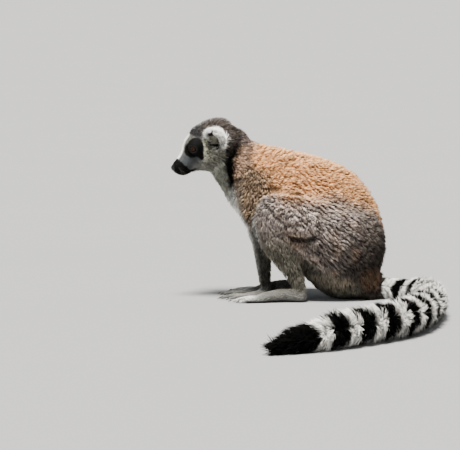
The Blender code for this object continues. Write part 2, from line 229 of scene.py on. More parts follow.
# ----------------------------------------------------------------------------------------------------
# The tail's middle line, which its core, its rings and the lie of its hair all follow: it leaves the rump
# backwards, comes round on the floor and points forwards at its tip.
TAIL_ROOT = (22, 0)
TAIL_LENGTH = 610
TAIL_STEPS = 120
# Rows of share along the tail, and its bearing in degrees, the outline's radius and the core's radius there.
TAIL_TURN = [(0, 22), (0.1, 62), (0.24, 88), (0.5, 103), (0.8, 132), (1, 152)]
TAIL_GIRTH = [(0, 15), (0.07, 15), (0.2, 19.5), (0.35, 22.5), (0.5, 24.5), (0.7, 25), (0.85, 23.5),
              (0.95, 17), (1, 9)]
TAIL_CORE = [(0, 8.5), (0.1, 7.5), (0.5, 6), (0.9, 4.5), (1, 3)]


def eased(table, share):
    """The value of a table (share, value) at a share, eased from row to row."""
    for (low, near), (high, far) in zip(table, table[1:]):
        if share <= high:
            return near + (far - near) * float(ramp(np.array(share), low, high))
    return table[-1][1]


def tail_line():
    """Rows (x, y, z, way x, way y, outline radius, core radius) along the tail."""
    step = TAIL_LENGTH / TAIL_STEPS
    x, y = TAIL_ROOT
    rows = []
    for i in range(TAIL_STEPS + 1):
        share = i / TAIL_STEPS
        turn = math.radians(eased(TAIL_TURN, share))
        radius = eased(TAIL_GIRTH, share)
        rows.append((x, y, radius, math.cos(turn), -math.sin(turn), radius, eased(TAIL_CORE, share)))
        x += step * math.cos(turn)
        y -= step * math.sin(turn)
    return np.array(rows)


tail_rows = tail_line()


def finder(places):
    """What finds the nearest of these places."""
    tree = KDTree(len(places))
    for i, place in enumerate(places):
        tree.insert(place[:3], i)
    tree.balance()
    return tree


def nearest_rows(points, rows):
    """For each point, the index of the row whose first three numbers are nearest."""
    tree = finder(rows)
    return np.array([tree.find(point)[1] for point in points])


# ----------------------------------------------------------------------------------------------------
# The flesh.  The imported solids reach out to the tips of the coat, so they are fused into one closed shape and
# drawn in by the depth of the fur, which leaves the bare body of the mount under it.
OUTLINE_VOXEL = 1.7
OUTLINE_GROWTH = 0.3          # closes the thin cuts between neighbouring solids
OUTLINE_PASSES = 8
INSET_STEPS = 8
COAT_DEPTH = {"trunk": 5.2, "neck": 5, "head": 4.5, "upper_arm": 5, "forearm": 2.6, "hand": 0.5,
              "thigh": 5, "shank": 4, "foot": 0.7, "tail": 16}
REGIONS = [*COAT_DEPTH, "ear", "lid"]
MUZZLE_DEPTH = 0.6
BROW_DEPTH = 2.2
SOFTENED_DEPTH = 8            # skin under a coat this deep is eased fully at each step
SAMPLES_PER_MM2 = 0.35        # points that tell which solid a place on the outline belongs to
REGION_PASSES = 14


def region_of(node):
    return next(i for i, region in enumerate(REGIONS) if node.startswith(region))


def shape_of(mesh):
    shape = bmesh.new()
    shape.from_mesh(mesh)
    return shape


def merged(mesh, growth):
    """A bmesh of a solid with its loose triangles joined, swollen a little."""
    shape = shape_of(mesh)
    bmesh.ops.remove_doubles(shape, verts=shape.verts, dist=1e-6)
    shape.normal_update()
    for vert in shape.verts:
        vert.co += vert.normal * growth * MM
    return shape


def worked_in(obj):
    """obj with its modifiers worked into its mesh."""
    obj.data = bpy.data.meshes.new_from_object(obj.evaluated_get(bpy.context.evaluated_depsgraph_get()))
    obj.modifiers.clear()
    return obj


def settled(obj, *modifiers):
    """obj with these modifiers (type, settings) worked into its mesh."""
    for kind, settings in modifiers:
        modifier = obj.modifiers.new(kind.title(), kind)
        for key, value in settings.items():
            setattr(modifier, key, value)
    return worked_in(obj)


def fused(name, shapes, voxel, passes):
    """One closed surface round several bmeshes, with its creases softened."""
    joined = bmesh.new()
    for shape in shapes:
        part = mesh_of(shape, "part")
        joined.from_mesh(part)
        bpy.data.meshes.remove(part)
    return settled(linked(name, mesh_of(joined, name)),
                   ("REMESH", {"mode": "VOXEL", "voxel_size": voxel * MM, "adaptivity": 0}),
                   ("SMOOTH", {"factor": 0.5, "iterations": passes}))


def read(rows, attribute, numbers, kind=float):
    """An attribute of this many numbers of every row of a mesh, as one flat array."""
    flat = np.empty(len(rows) * numbers, kind)
    rows.foreach_get(attribute, flat)
    return flat


def mesh_points(mesh):
    """The mesh's points as an array in mm."""
    return read(mesh.vertices, "co", 3).reshape(-1, 3) / MM


def mesh_normals(mesh):
    return read(mesh.vertex_normals, "vector", 3, np.float32).reshape(-1, 3).astype(float)


def put_points(mesh, points):
    mesh.vertices.foreach_set("co", (points * MM).ravel())
    mesh.update()


class Neighbours:
    """The edges of a mesh, for spreading values over its surface."""

    def __init__(self, mesh):
        ends = read(mesh.edges, "vertices", 2, np.int64).reshape(-1, 2)
        near = np.concatenate([ends[:, 0], ends[:, 1]])
        far = np.concatenate([ends[:, 1], ends[:, 0]])
        order = np.argsort(near, kind="stable")
        self.far = far[order]
        self.count = np.bincount(near, minlength=len(mesh.vertices))
        self.starts = np.concatenate([[0], np.cumsum(self.count)[:-1]])

    def spread(self, values, passes):
        """values with each point's blended half and half with its neighbours', that many times."""
        for _ in range(passes):
            totals = np.add.reduceat(values[self.far], self.starts, axis=0)
            values = 0.5 * values + 0.5 * totals / self.count.reshape(-1, *[1] * (values.ndim - 1))
        return values


def largest_shell(mesh):
    """Drops closed bubbles that the fusing left inside."""
    shape = shape_of(mesh)
    unseen = set(shape.verts)
    shells = []
    while unseen:
        shell = set()
        waiting = [unseen.pop()]
        while waiting:
            vert = waiting.pop()
            shell.add(vert)
            for edge in vert.link_edges:
                other = edge.other_vert(vert)
                if other in unseen:
                    unseen.remove(other)
                    waiting.append(other)
        shells.append(shell)
    keep = max(shells, key=len)
    if len(shells) > 1:
        bmesh.ops.delete(shape, geom=[vert for vert in shape.verts if vert not in keep], context="VERTS")
    shape.to_mesh(mesh)
    shape.free()


def triangle_corners(mesh):
    """The three points of each triangle of a mesh, by their indices."""
    return read(mesh.loops, "vertex_index", 1, np.int64).reshape(-1, 3)


def doubled_areas(corners):
    """Twice the area of each triangle."""
    return np.linalg.norm(np.cross(corners[:, 1] - corners[:, 0], corners[:, 2] - corners[:, 0]), axis=1)


def scattered(areas, count, chance):
    """Random places, evenly by area: the triangle that each lies on, and the weights of its corners."""
    chosen = np.searchsorted(np.cumsum(areas) / areas.sum(), chance.random(count)).clip(0, len(areas) - 1)
    first, second = np.sqrt(chance.random(count)), chance.random(count)
    return chosen, np.stack([1 - first, first * (1 - second), first * second], axis=1)


def region_shares(points, links):
    """How far each point belongs to each region, easing over from one to the next."""
    chance = np.random.default_rng(3)
    places, owners = [], []
    for node in body_nodes:
        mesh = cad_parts[node].data
        corners = mesh_points(mesh)[triangle_corners(mesh)]
        areas = doubled_areas(corners)
        chosen, weights = scattered(areas, int(areas.sum() / 2 * SAMPLES_PER_MM2) + 10, chance)
        places.append(np.einsum("ij,ijk->ik", weights, corners[chosen]))
        owners.append(np.full(len(chosen), region_of(node)))
    places, owners = np.concatenate(places), np.concatenate(owners)
    shares = np.zeros((len(points), len(REGIONS)))
    shares[np.arange(len(points)), owners[nearest_rows(points, places)]] = 1
    return links.spread(shares, REGION_PASSES)


flesh_nodes = [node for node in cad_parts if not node.startswith("eye")]
body_nodes = [node for node in flesh_nodes if not node.startswith(("ear", "tail"))]
flesh = fused("flesh", [merged(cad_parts[node].data, OUTLINE_GROWTH) for node in body_nodes],
              OUTLINE_VOXEL, OUTLINE_PASSES)
largest_shell(flesh.data)
outline_points = mesh_points(flesh.data)
outline_links = Neighbours(flesh.data)
outline_shares = region_shares(outline_points, outline_links)


def coat_depths(points, shares):
    """How far the skin lies under the outline, less over the face than over the rest of the head."""
    depth = dict(COAT_DEPTH)
    place = head_places(points)
    forward, up = place[:, 0], place[:, 2]
    face = MUZZLE_DEPTH + (BROW_DEPTH - MUZZLE_DEPTH) * ramp(forward, 15, 4)
    depth["head"] = face + (COAT_DEPTH["head"] - BROW_DEPTH) * ramp(forward - 0.4 * up, -2, -20)
    return sum(shares[:, i] * depth[region] for i, region in enumerate(COAT_DEPTH))


outline_depth = outline_links.spread(coat_depths(outline_points, outline_shares), 6)
skin_points = outline_points.copy()
for _ in range(INSET_STEPS):
    inwards = outline_links.spread(mesh_normals(flesh.data), 3)
    inwards /= np.linalg.norm(inwards, axis=1)[:, None] + 1e-9
    skin_points = skin_points - inwards * (outline_depth / INSET_STEPS)[:, None]
    eased_points = outline_links.spread(skin_points, 1)
    soften = np.clip(outline_depth / SOFTENED_DEPTH, 0, 1)[:, None]
    skin_points = skin_points * (1 - soften) + eased_points * soften
    put_points(flesh.data, skin_points)


# ----------------------------------------------------------------------------------------------------
# The core of the tail, the bones and skin inside its brush of long hair, lying just over the floor.
CORE_SIDES = 14
CORE_SINK = 2.0               # the hair under the tail is pressed flat by this much
CORE_START = 12               # how far inside the rump the core begins


def bridged(shape, near, far, closed=True):
    """Faces from one row of corners to the next.  A row of one corner is a point that all its faces share."""
    steps = max(len(near), len(far))
    for i in range(steps if closed else steps - 1):
        j = (i + 1) % steps
        corners = [near[i % len(near)], near[j % len(near)], far[j % len(far)], far[i % len(far)]]
        shape.faces.new(list(dict.fromkeys(corners)))


def tail_core():
    shape = bmesh.new()
    rings = []
    for x, y, z, way_x, way_y, _, radius in tail_rows:
        way = Vector((way_x, way_y, 0))
        side = way.cross(upwards)
        middle = Vector((x, y, z - CORE_SINK)) - (way * CORE_START if not rings else Vector())
        turns = [2 * math.pi * i / CORE_SIDES for i in range(CORE_SIDES)]
        rings.append([shape.verts.new((middle + (side * math.cos(t) + upwards * math.sin(t)) * radius) * MM)
                      for t in turns])
    for near, far in zip(rings, rings[1:]):
        bridged(shape, near, far)
    shape.faces.new(rings[0])
    shape.faces.new(rings[-1])
    bmesh.ops.recalc_face_normals(shape, faces=shape.faces)
    return shape


# ----------------------------------------------------------------------------------------------------
# The ears: thin cupped leaves of gristle and skin that open forwards and outwards, with a rolled rim behind
# and a ridge inside that parts the upper hollow from the lower one.
EAR_SHIFT = (1, 0.3, -1.9)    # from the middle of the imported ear
EAR_AXIS = (0.355, 0.734, 0.58)
EAR_FACING = (0.64, 0.12, -0.76)
EAR_HALF_LENGTH = 16
EAR_HALF_WIDTH = 11.5
EAR_CUP = 9
EAR_WALL = 2.4
EAR_ROWS = 28
EAR_COLUMNS = 24
EAR_WIDEST = 0.45             # share of the way up the leaf
EAR_RIDGE = 2.0
EAR_ROOT = (9, 6.5, 4.5)      # half sizes along, across and through the root that joins it to the skull
EAR_ROOT_DROP = (2, 9)        # the root's middle, below the leaf's foot and behind its face


def ear_frame(sign):
    """An ear's middle in the world, and its ways up, across (towards the back rim) and out of its opening."""
    axis, facing = (head_way(forward, left * sign, up) for forward, left, up in (EAR_AXIS, EAR_FACING))
    across = axis.cross(facing) * sign
    low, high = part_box("ear_left" if sign > 0 else "ear_right")
    middle = (low + high) / 2 / MM + on_head(EAR_SHIFT[0], EAR_SHIFT[1] * sign, EAR_SHIFT[2]) - head_middle
    return middle, axis, across.normalized(), facing


def ear_width(v, least=0):
    """Half the leaf's width at a share of the way up it."""
    return EAR_HALF_WIDTH * np.sqrt(np.clip(1 - ((v - EAR_WIDEST) / (1 - EAR_WIDEST)) ** 2, least, 1))


def ear_depth(u, v):
    """How deep the cup's face lies, with its ridge, and how deep it would lie without."""
    cup = EAR_CUP * (1 - u * u) * (1 - v ** 3) * (0.6 + 0.4 * math.sin(math.pi * v))
    ridge = EAR_RIDGE * math.exp(-(((u - 0.1 - 0.5 * (v - 0.5)) / 0.16) ** 2)) * min(1, 3 * (1 - v))
    return cup - ridge, cup


def pinna(sign):
    """One ear: the cup's face, the plain wall behind it, the border between them, and the root."""
    middle, axis, across, facing = ear_frame(sign)
    shape = bmesh.new()
    walls = [[], []]
    for wall, rows in enumerate(walls):
        for i in range(EAR_ROWS + 1):
            v = i / EAR_ROWS
            width = float(ear_width(v))
            row = []
            for j in range(EAR_COLUMNS + 1):
                u = 2 * j / EAR_COLUMNS - 1
                depth = ear_depth(u, v)[wall] + wall * EAR_WALL
                place = middle + axis * ((2 * v - 1) * EAR_HALF_LENGTH) + across * (u * width)
                row.append(shape.verts.new((place - facing * depth) * MM))
            rows.append(row)
    for rows in walls:
        for near, far in zip(rows, rows[1:]):
            bridged(shape, near, far, closed=False)
    front, rear = walls
    border = ([(0, j) for j in range(EAR_COLUMNS)] + [(i, EAR_COLUMNS) for i in range(EAR_ROWS)]
              + [(EAR_ROWS, j) for j in range(EAR_COLUMNS, 0, -1)] + [(i, 0) for i in range(EAR_ROWS, 0, -1)])
    for (i, j), (k, m) in zip(border, border[1:] + border[:1]):
        shape.faces.new((front[i][j], front[k][m], rear[k][m], rear[i][j]))
    below, behind = EAR_ROOT_DROP
    root = Matrix.Translation((middle - axis * (EAR_HALF_LENGTH + below) - facing * behind) * MM)
    root = root @ Matrix((axis, across, facing)).transposed().to_4x4() @ Matrix.Diagonal((*EAR_ROOT, 1))
    bmesh.ops.create_icosphere(shape, subdivisions=3, radius=MM, matrix=root)
    bmesh.ops.recalc_face_normals(shape, faces=shape.faces)
    return shape


# ----------------------------------------------------------------------------------------------------
# The eyelids: a ring of skin round each eyeball, thin at its edge and thick where it runs into the brow, with
# the upper lid drawn a little further over the eye than the lower one.
EYE_SPLAY = math.radians(41)
EYE_DROOP = math.radians(14)
LID_GAP = 0.35
LID_EDGE = 1.5
LID_ROOT = 4.4
LID_FOLD = 0.5
LID_FOLD_AT = 0.42            # share of the way from edge to root
LID_OPENING = 34              # degrees off the eye's axis
LID_END = 104
LID_TURNS = 48
LID_STEPS = 8


def eye_frame(sign):
    """The way an eye looks, and its ways up and outwards."""
    level = math.cos(EYE_DROOP)
    look = head_way(math.cos(EYE_SPLAY) * level, math.sin(EYE_SPLAY) * level * sign, -math.sin(EYE_DROOP))
    outwards = head_way(-math.sin(EYE_SPLAY), math.cos(EYE_SPLAY) * sign, 0)
    return look, outwards.cross(look) * (1 if outwards.cross(look).z > 0 else -1), outwards


def lid_edge(turn):
    """How far open the lids are at this turn round the eye, 0 outwards and 90 degrees up."""
    up = math.sin(turn)
    return math.radians(LID_OPENING - 9 * up * up - 4 * max(up, 0) + 3 * math.cos(turn) ** 4)


def lids(side, sign):
    look, up, out = eye_frame(sign)
    middle = eye_centres[side]
    shape = bmesh.new()
    rings = []
    for k in range(LID_TURNS):
        turn = 2 * math.pi * k / LID_TURNS
        away = out * math.cos(turn) + up * math.sin(turn)
        inner, outer = [], []
        for i in range(LID_STEPS + 1):
            share = i / LID_STEPS
            angle = lid_edge(turn) + (math.radians(LID_END) - lid_edge(turn)) * share
            way = look * math.cos(angle) + away * math.sin(angle)
            fold = LID_FOLD * math.exp(-(((share - LID_FOLD_AT) / 0.1) ** 2))
            outside = eye_radius + LID_EDGE + (LID_ROOT - LID_EDGE) * share ** 0.7 - fold
            inner.append(shape.verts.new((middle + way * (eye_radius + LID_GAP)) * MM))
            outer.append(shape.verts.new((middle + way * outside) * MM))
        rings.append(inner + outer[::-1])
    for near, far in zip(rings, rings[1:] + rings[:1]):
        bridged(shape, near, far)
    bmesh.ops.recalc_face_normals(shape, faces=shape.faces)
    return shape


# ----------------------------------------------------------------------------------------------------
# The skin: flesh, ears, lids and the tail's core drawn over as one closed hide with no seam.
SKIN_VOXEL = 0.8
SKIN_PASSES = 3
SKIN_TRIANGLES = 186000
FACE_FROM = -14               # the head stays fine forward of here
NOSTRIL = (27.5, 3.6, -27.5)
NOSTRIL_REACH = 1.9
NOSTRIL_DEPTH = 2.0
MOUTH_LINE = [(28, -34.0), (20, -34.2), (11, -32.5), (2, -29.5), (-5, -26.5)]
MOUTH_WIDTH = 1.52
MOUTH_DEPTH = 1.0
LIP_SPLIT = 0.8
CROWN_SWELL = 2.0
LOWEST_SKIN = 0.3
EAR_REACH, LID_REACH = 2.5, 0.8      # from the skin out to the tips of the hair
SHARE_PASSES = 5


def as_rows(shape):
    return np.array([vert.co / MM for vert in shape.verts])


def region_rows(region, count):
    rows = np.zeros((count, len(REGIONS)))
    rows[:, REGIONS.index(region)] = 1
    return rows


flesh_shape = shape_of(flesh.data)
core_shape = tail_core()
ear_shapes = [pinna(sign) for sign in EYE_SIDES.values()]
lid_shapes = [lids(side, sign) for side, sign in EYE_SIDES.items()]
core_rows, ear_rows, lid_rows = (np.concatenate([as_rows(shape) for shape in shapes])
                                 for shapes in ([core_shape], ear_shapes, lid_shapes))
hide_reach = np.linalg.norm(outline_points - skin_points, axis=1)
sources = np.concatenate([skin_points, core_rows, ear_rows, lid_rows])
source_shares = np.concatenate([outline_shares, region_rows("tail", len(core_rows)),
                                region_rows("ear", len(ear_rows)), region_rows("lid", len(lid_rows))])
core_reach = np.repeat(tail_rows[:, 5] - tail_rows[:, 6], CORE_SIDES)
source_reach = np.concatenate([hide_reach, core_reach, np.full(len(ear_rows), EAR_REACH),
                               np.full(len(lid_rows), LID_REACH)])

bpy.data.objects.remove(flesh)
skin = fused("skin", [flesh_shape, core_shape, *ear_shapes, *lid_shapes], SKIN_VOXEL, SKIN_PASSES)
largest_shell(skin.data)


def near_line(places, line):
    """How far each (x, y) place is from a line of straight pieces."""
    nearest = np.full(len(places), 1e9)
    for start, end in zip(np.array(line, float), np.array(line[1:], float)):
        way = end - start
        share = np.clip((places - start) @ way / (way @ way), 0, 1)
        nearest = np.minimum(nearest, np.linalg.norm(places - start - share[:, None] * way, axis=1))
    return nearest


def carve_face(mesh):
    """Nostrils, the split lip and the line of the mouth pressed into the face, and the crown swelled."""
    points, normals = mesh_points(mesh), mesh_normals(mesh)
    place = head_places(points)
    mirrored = place * (1, 0, 1) + np.abs(place) * (0, 1, 0)
    to_nostril = np.linalg.norm((mirrored - NOSTRIL) * (0.8, 1, 1.25), axis=1)
    depth = NOSTRIL_DEPTH * ramp(to_nostril, NOSTRIL_REACH, 0.4)
    to_mouth = near_line(place[:, [0, 2]], MOUTH_LINE)
    depth += MOUTH_DEPTH * ramp(to_mouth, MOUTH_WIDTH, 0) * ramp(mirrored[:, 1], 0.5, 3) * (place[:, 0] > -8)
    split = ramp(mirrored[:, 1], 1.3, 0) * ramp(place[:, 0], 24, 27) * ramp(place[:, 2], -28, -30)
    depth += LIP_SPLIT * split * (place[:, 2] > -36)
    depth -= CROWN_SWELL * ramp(place[:, 2], 13, 22) * ramp(place[:, 0], 13, 5) * ramp(place[:, 0], -48, -36)
    carved = points - normals * depth[:, None]
    carved[:, 2] = np.maximum(carved[:, 2], LOWEST_SKIN)
    put_points(mesh, carved)


carve_face(skin.data)
face_weights = ramp(head_places(mesh_points(skin.data))[:, 0], FACE_FROM - 3, FACE_FROM)
coarser = skin.vertex_groups.new(name="coarser")
for index in np.flatnonzero(face_weights < 0.5):
    coarser.add([int(index)], 1.0, "REPLACE")
skin_triangles = sum(len(face.vertices) - 2 for face in skin.data.polygons)
settled(skin, ("DECIMATE", {"ratio": SKIN_TRIANGLES / skin_triangles, "vertex_group": "coarser",
                            "use_collapse_triangulate": True}))
skin.vertex_groups.clear()
skin.data.shade_smooth()


def unwrap(obj, name):
    """A layout of the skin's own shape, cut into flat pieces, which its coat shares."""
    bpy.context.view_layer.objects.active = obj
    obj.select_set(True)
    bpy.ops.object.mode_set(mode="EDIT")
    bpy.ops.mesh.select_all(action="SELECT")
    bpy.ops.uv.smart_project(angle_limit=math.radians(66), island_margin=0.001)
    bpy.ops.object.mode_set(mode="OBJECT")
    obj.select_set(False)
    obj.data.uv_layers.active.name = name


unwrap(skin, "OFBake")
skin_places, skin_normals = mesh_points(skin.data), mesh_normals(skin.data)
skin_corners = triangle_corners(skin.data)
skin_layout = read(skin.data.uv_layers["OFBake"].uv, "vector", 2).reshape(-1, 3, 2)
skin_links = Neighbours(skin.data)
nearest_source = nearest_rows(skin_places, sources)
skin_shares = skin_links.spread(source_shares[nearest_source], SHARE_PASSES)
skin_reach = skin_links.spread(source_reach[nearest_source], SHARE_PASSES)


# ----------------------------------------------------------------------------------------------------
# The markings, one rule for skin and coat alike: white face and ears, black muzzle and eye patches, grey
# crown, peach back, grey brown thighs, pale chest and feet, and a tail ringed in black and white.
WHITE = (0.90, 0.89, 0.85)
# Painted shade: the white fur of the throat is painted grey, as it looks in the shade under the jaw.
THROAT_IN_SHADE = (0.288, 0.292, 0.248)
BLACK = (0.0024, 0.0024, 0.0022)
CROWN = (0.108, 0.09, 0.08)
SLATE = (0.042, 0.041, 0.042)
BROW = (0.145, 0.145, 0.126)
CHEEK = (0.55, 0.54, 0.43)
MUZZLE_GREY = (0.084, 0.09, 0.094)
NAPE = (0.3, 0.25, 0.225)
NECK_BROWN = (0.53, 0.355, 0.245)
BACK_PEACH = (0.98, 0.55, 0.265)
SHOULDER = (0.37, 0.26, 0.172)
RUMP = (0.38, 0.32, 0.28)
THIGH = (0.385, 0.325, 0.293)
RUFOUS = (0.272, 0.16, 0.092)
# Painted shade: the pale fur under the belly is painted dark grey.
BELLY_IN_SHADE = (0.16, 0.152, 0.124)
FOREARM = (0.06, 0.058, 0.05)
SHANK = (0.195, 0.18, 0.145)
PALE_GREY = (0.256, 0.252, 0.232)
# Painted shade: near black, for the shade deep in the ear's hollow and in the well at its foot.
EAR_HOLLOW_SHADE = (0.011, 0.0096, 0.01)
EAR_RIM = (0.2, 0.196, 0.216)
TAIL_ROOT_GREY = (0.192, 0.16, 0.136)
BUFF = (0.496, 0.4, 0.296)
# Where one colour meets the next.  On the head: rows (forward, up) of the crown's front edge and of the black
# lower lip, the well at the foot of the ear, painted dark as shade, and the tear trail behind the eye.
CROWN_EDGE = [(-60, -40), (-44, -30), (-34, 0), (-20, 24), (-14, 25), (-9, 20), (-6, 13), (-1, 10.5), (1, 14),
              (6, 16), (12, 17)]
LIP_EDGE = [(-6, -26.5), (4, -29.5), (14, -31)]
EAR_WELL = [(-19.5, 7), (-25, 3.5)]
EYE_TRAIL = [(3, -5), (-6, -14.5)]
# The eye patch is a blot round one place (forward, side, up), joined to a ring round the eye itself.
PATCH_MIDDLE = (6.3, 19.5, -2.9)
PATCH_RADIUS = 11.2
RING_MIDDLE = (0, 15.4, -1.5)
RING_BORDER = 4
# On the body: rows (z, x) of the front of the black neck band, of its rear edge from there, and of the white
# chest, and rows (x, z) of the lower edge of the peach saddle.
BAND_FRONT = [(140, -145), (150, -151), (175, -156), (205, -151), (215, -146)]
BAND_REAR = [(150, -2), (175, 0), (198, 4)]
CHEST_EDGE = [(60, -104), (84, -118), (106, -133), (119, -143), (151, -151), (170, -156)]
SADDLE_EDGE = [(-90, 132), (-26, 134), (30, 118), (60, 108)]
# In the ear: rows (share up, share across) of the rear edge of the bare hollow.
HOLLOW_EDGE = [(0.2, 0.7), (0.5, 0.42), (0.9, 0.05)]
RING_START = 26
RING_PAIR = 43
RING_WHITE = 19
TIP_BLACK = 26


def blend(share, first, second):
    """Colours that go from the first to the second."""
    share = np.asarray(share)[:, None]
    return np.asarray(first) * (1 - share) + np.asarray(second) * share


def along_edge(values, edge):
    """The edge's second number where its first is each of the values."""
    return np.interp(values, *zip(*edge))


def patchy(points, size, seed):
    """A soft random value from -1 to 1 in patches of about this many mm."""
    shift = Vector((seed * 17.3, seed * 5.1, seed * 9.7))
    return np.array([noise.noise(Vector(point) / size + shift) for point in points])


def ear_places(points, normals):
    """(u across to the back rim, v up the leaf, how far it looks out of the opening) on the nearer ear."""
    rows = np.zeros((len(points), 3))
    left = head_places(points)[:, 1] > 0
    for chosen, sign in ((left, 1), (~left, -1)):
        middle, axis, across, facing = (np.array(v) for v in ear_frame(sign))
        away = points[chosen] - middle
        v = away @ axis / (2 * EAR_HALF_LENGTH) + 0.5
        rows[chosen] = np.stack([away @ across / ear_width(v, 0.05), v, normals[chosen] @ facing], axis=1)
    return rows


def ear_hollow(u, v, out):
    """How far a place lies in the bare hollow of the cup, which is narrow at the tip and wide at the foot."""
    return ramp(out, 0.0, 0.3) * ramp(u - along_edge(v, HOLLOW_EDGE), 0.08, -0.08)


def ear_flap(u, v):
    """How far a place in the cup lies on its furred front foot, 0 to 1."""
    return ramp(u, -0.2, -0.45) * ramp(v, 0.6, 0.45)


def ear_well(points):
    """How far each point of the head lies in the dark well at the foot of the ear's cup, 0 to 1."""
    place = head_places(points)
    return ramp(near_line(place[:, [0, 2]], EAR_WELL), 4.3, 3.0) * (np.abs(place[:, 1]) > 13)


def eye_distance(place):
    """How far a place on the head is from the middle of its side's eye patch, as a share of its size."""
    forward, side, up = place[:, 0], np.abs(place[:, 1]), place[:, 2]
    places = np.stack([forward, side, up], axis=1)
    patch = np.linalg.norm((places - PATCH_MIDDLE) * (1, math.sqrt(0.5), 1), axis=1) / PATCH_RADIUS
    ring = np.linalg.norm(places - RING_MIDDLE, axis=1) / (eye_radius + RING_BORDER)
    patch = np.minimum(patch, ring)
    trail = near_line(place[:, [0, 2]], EYE_TRAIL)
    along = np.clip((-up - 5) / 9.5, 0, 1)
    # The trail narrows and fades downwards, and never crosses the bridge of the nose.
    return np.minimum(patch, trail / (7.5 - 5.2 * along) + 0.14 * along + 3 * (side < 10))


def head_colours(points, normals):
    place = head_places(points)
    ragged = 1.3 * patchy(points, 2.4, 1)
    forward, side, up = place[:, 0] + ragged, np.abs(place[:, 1]), place[:, 2] + 1.2 * patchy(points, 2.0, 2)
    flecks = (0.5 + 1.3 * patchy(points, 2.3, 3)).clip(0, 1)
    cheek = blend(flecks, np.multiply(CHEEK, 0.35), np.multiply(CHEEK, 1.55))
    colour = blend(ramp(forward, -10, -5), cheek, MUZZLE_GREY)
    colour = blend(ramp(up, -13, -6) * ramp(forward, -4, 0), colour, BROW)
    bridge = ramp(side, 6, 2.6) * ramp(forward, 2, 6) * ramp(up, -24, -18)
    colour = blend(bridge, colour, WHITE)
    ruff = ramp(forward, -18, -23) * ramp(up, -5, 3) * ramp(side, 14, 20)
    colour = blend(ruff, colour, WHITE)
    # Painted shade: where the skin faces down under the jaw, the fur is painted pale grey.
    throat = ramp(normals[:, 2], -0.25, -0.7) * ramp(forward, 8, 2)
    colour = blend(throat * 0.8, colour, PALE_GREY)
    crown_edge = along_edge(forward, CROWN_EDGE) - 14 * ramp(side, 20, 8) * ramp(forward, -14, -26)
    crown = blend(ramp(forward, -16, 0), CROWN, SLATE)
    colour = blend(ramp(up - crown_edge, -1.5, 1.5), colour, crown)
    muzzle = ramp(forward - (10.5 + 1.05 * (up + 26)), -1.2, 1.2) * ramp(up, -4, -9)
    lower_lip = ramp(forward, -6, -3) * ramp(up - along_edge(forward, LIP_EDGE), 1.2, -0.6)
    muzzle = np.maximum(muzzle, lower_lip * ramp(forward, -6, 2))
    colour = blend(muzzle, colour, BLACK)
    colour = blend(ramp(eye_distance(place) + 0.1 * ragged, 1.12, 0.9), colour, BLACK)
    # Painted shade: the well at the foot of the ear is painted near black.
    colour = blend(ear_well(points), colour, EAR_HOLLOW_SHADE)
    speckled = 0.4 * ramp(forward, 0, -7) * (1 - ruff) + 0.14
    return colour, speckled * ramp(muzzle, 0.5, 0)


def neck_colours(points, normals):
    x, y, z = points.T
    wobble = 3 * patchy(points, 6, 4)
    front = x - along_edge(z, BAND_FRONT) + wobble - 0.22 * np.clip(np.abs(y) - 8, 0, 14)
    nape = blend(ramp(z, 188, 205), NECK_BROWN, NAPE)
    colour = blend(ramp(front - along_edge(z, BAND_REAR), 0, 11), BLACK, nape)
    white = ramp(front, -6, -11) * ramp(z - 0.6 * (x + 165), 196, 184)
    # Painted shade: the white throat here is painted grey, as in the shade under the jaw.
    colour = blend(white, colour, THROAT_IN_SHADE)
    peach = ramp(x + 0.45 * (z - 150), -109, -91)
    return blend(peach, colour, BACK_PEACH), 0.35 * (1 - white)


def trunk_colours(points, normals):
    x, y, z = points.T
    wobble = 6 * patchy(points, 11, 5)
    saddle = z + 26 * ramp(np.abs(y), 26, 6) * ramp(x, -10, 30) + wobble
    colour = blend(ramp(saddle - along_edge(x, SADDLE_EDGE), -14, 14), RUMP, BACK_PEACH)
    shoulder = ramp(x + 0.48 * (z - 150) + wobble, -104, -124)
    colour = blend(shoulder, colour, SHOULDER)
    # Painted shade: the coat is darkened low down and towards the rear, where the rump lies in shadow.
    colour = colour * (1 - 0.84 * ramp(z + wobble - 0.9 * (x + 40), 72, -8))[:, None]
    colour = blend(0.75 * ramp(z, 36, 22) * ramp(x, 10, -10), colour, BUFF)
    rufous = ramp(np.hypot(x - 26, z - 27), 20, 8)
    colour = blend(0.4 * rufous, colour, RUFOUS)
    # Painted shade: where the skin faces down under the belly, the coat is painted dark grey.
    belly = ramp(normals[:, 2], -0.2, -0.75) * ramp(x, 20, 0)
    colour = blend(belly, colour, BELLY_IN_SHADE)
    chest = x - along_edge(z, CHEST_EDGE) + 0.4 * wobble
    chest = ramp(chest - 0.5 * np.clip(14 - np.abs(y), 0, 14), 5, -3) * ramp(z, 50, 64)
    colour = blend(chest, colour, WHITE)
    return colour, (0.05 + 0.22 * shoulder + 0.10 * ramp(z, 110, 80)) * (1 - chest)


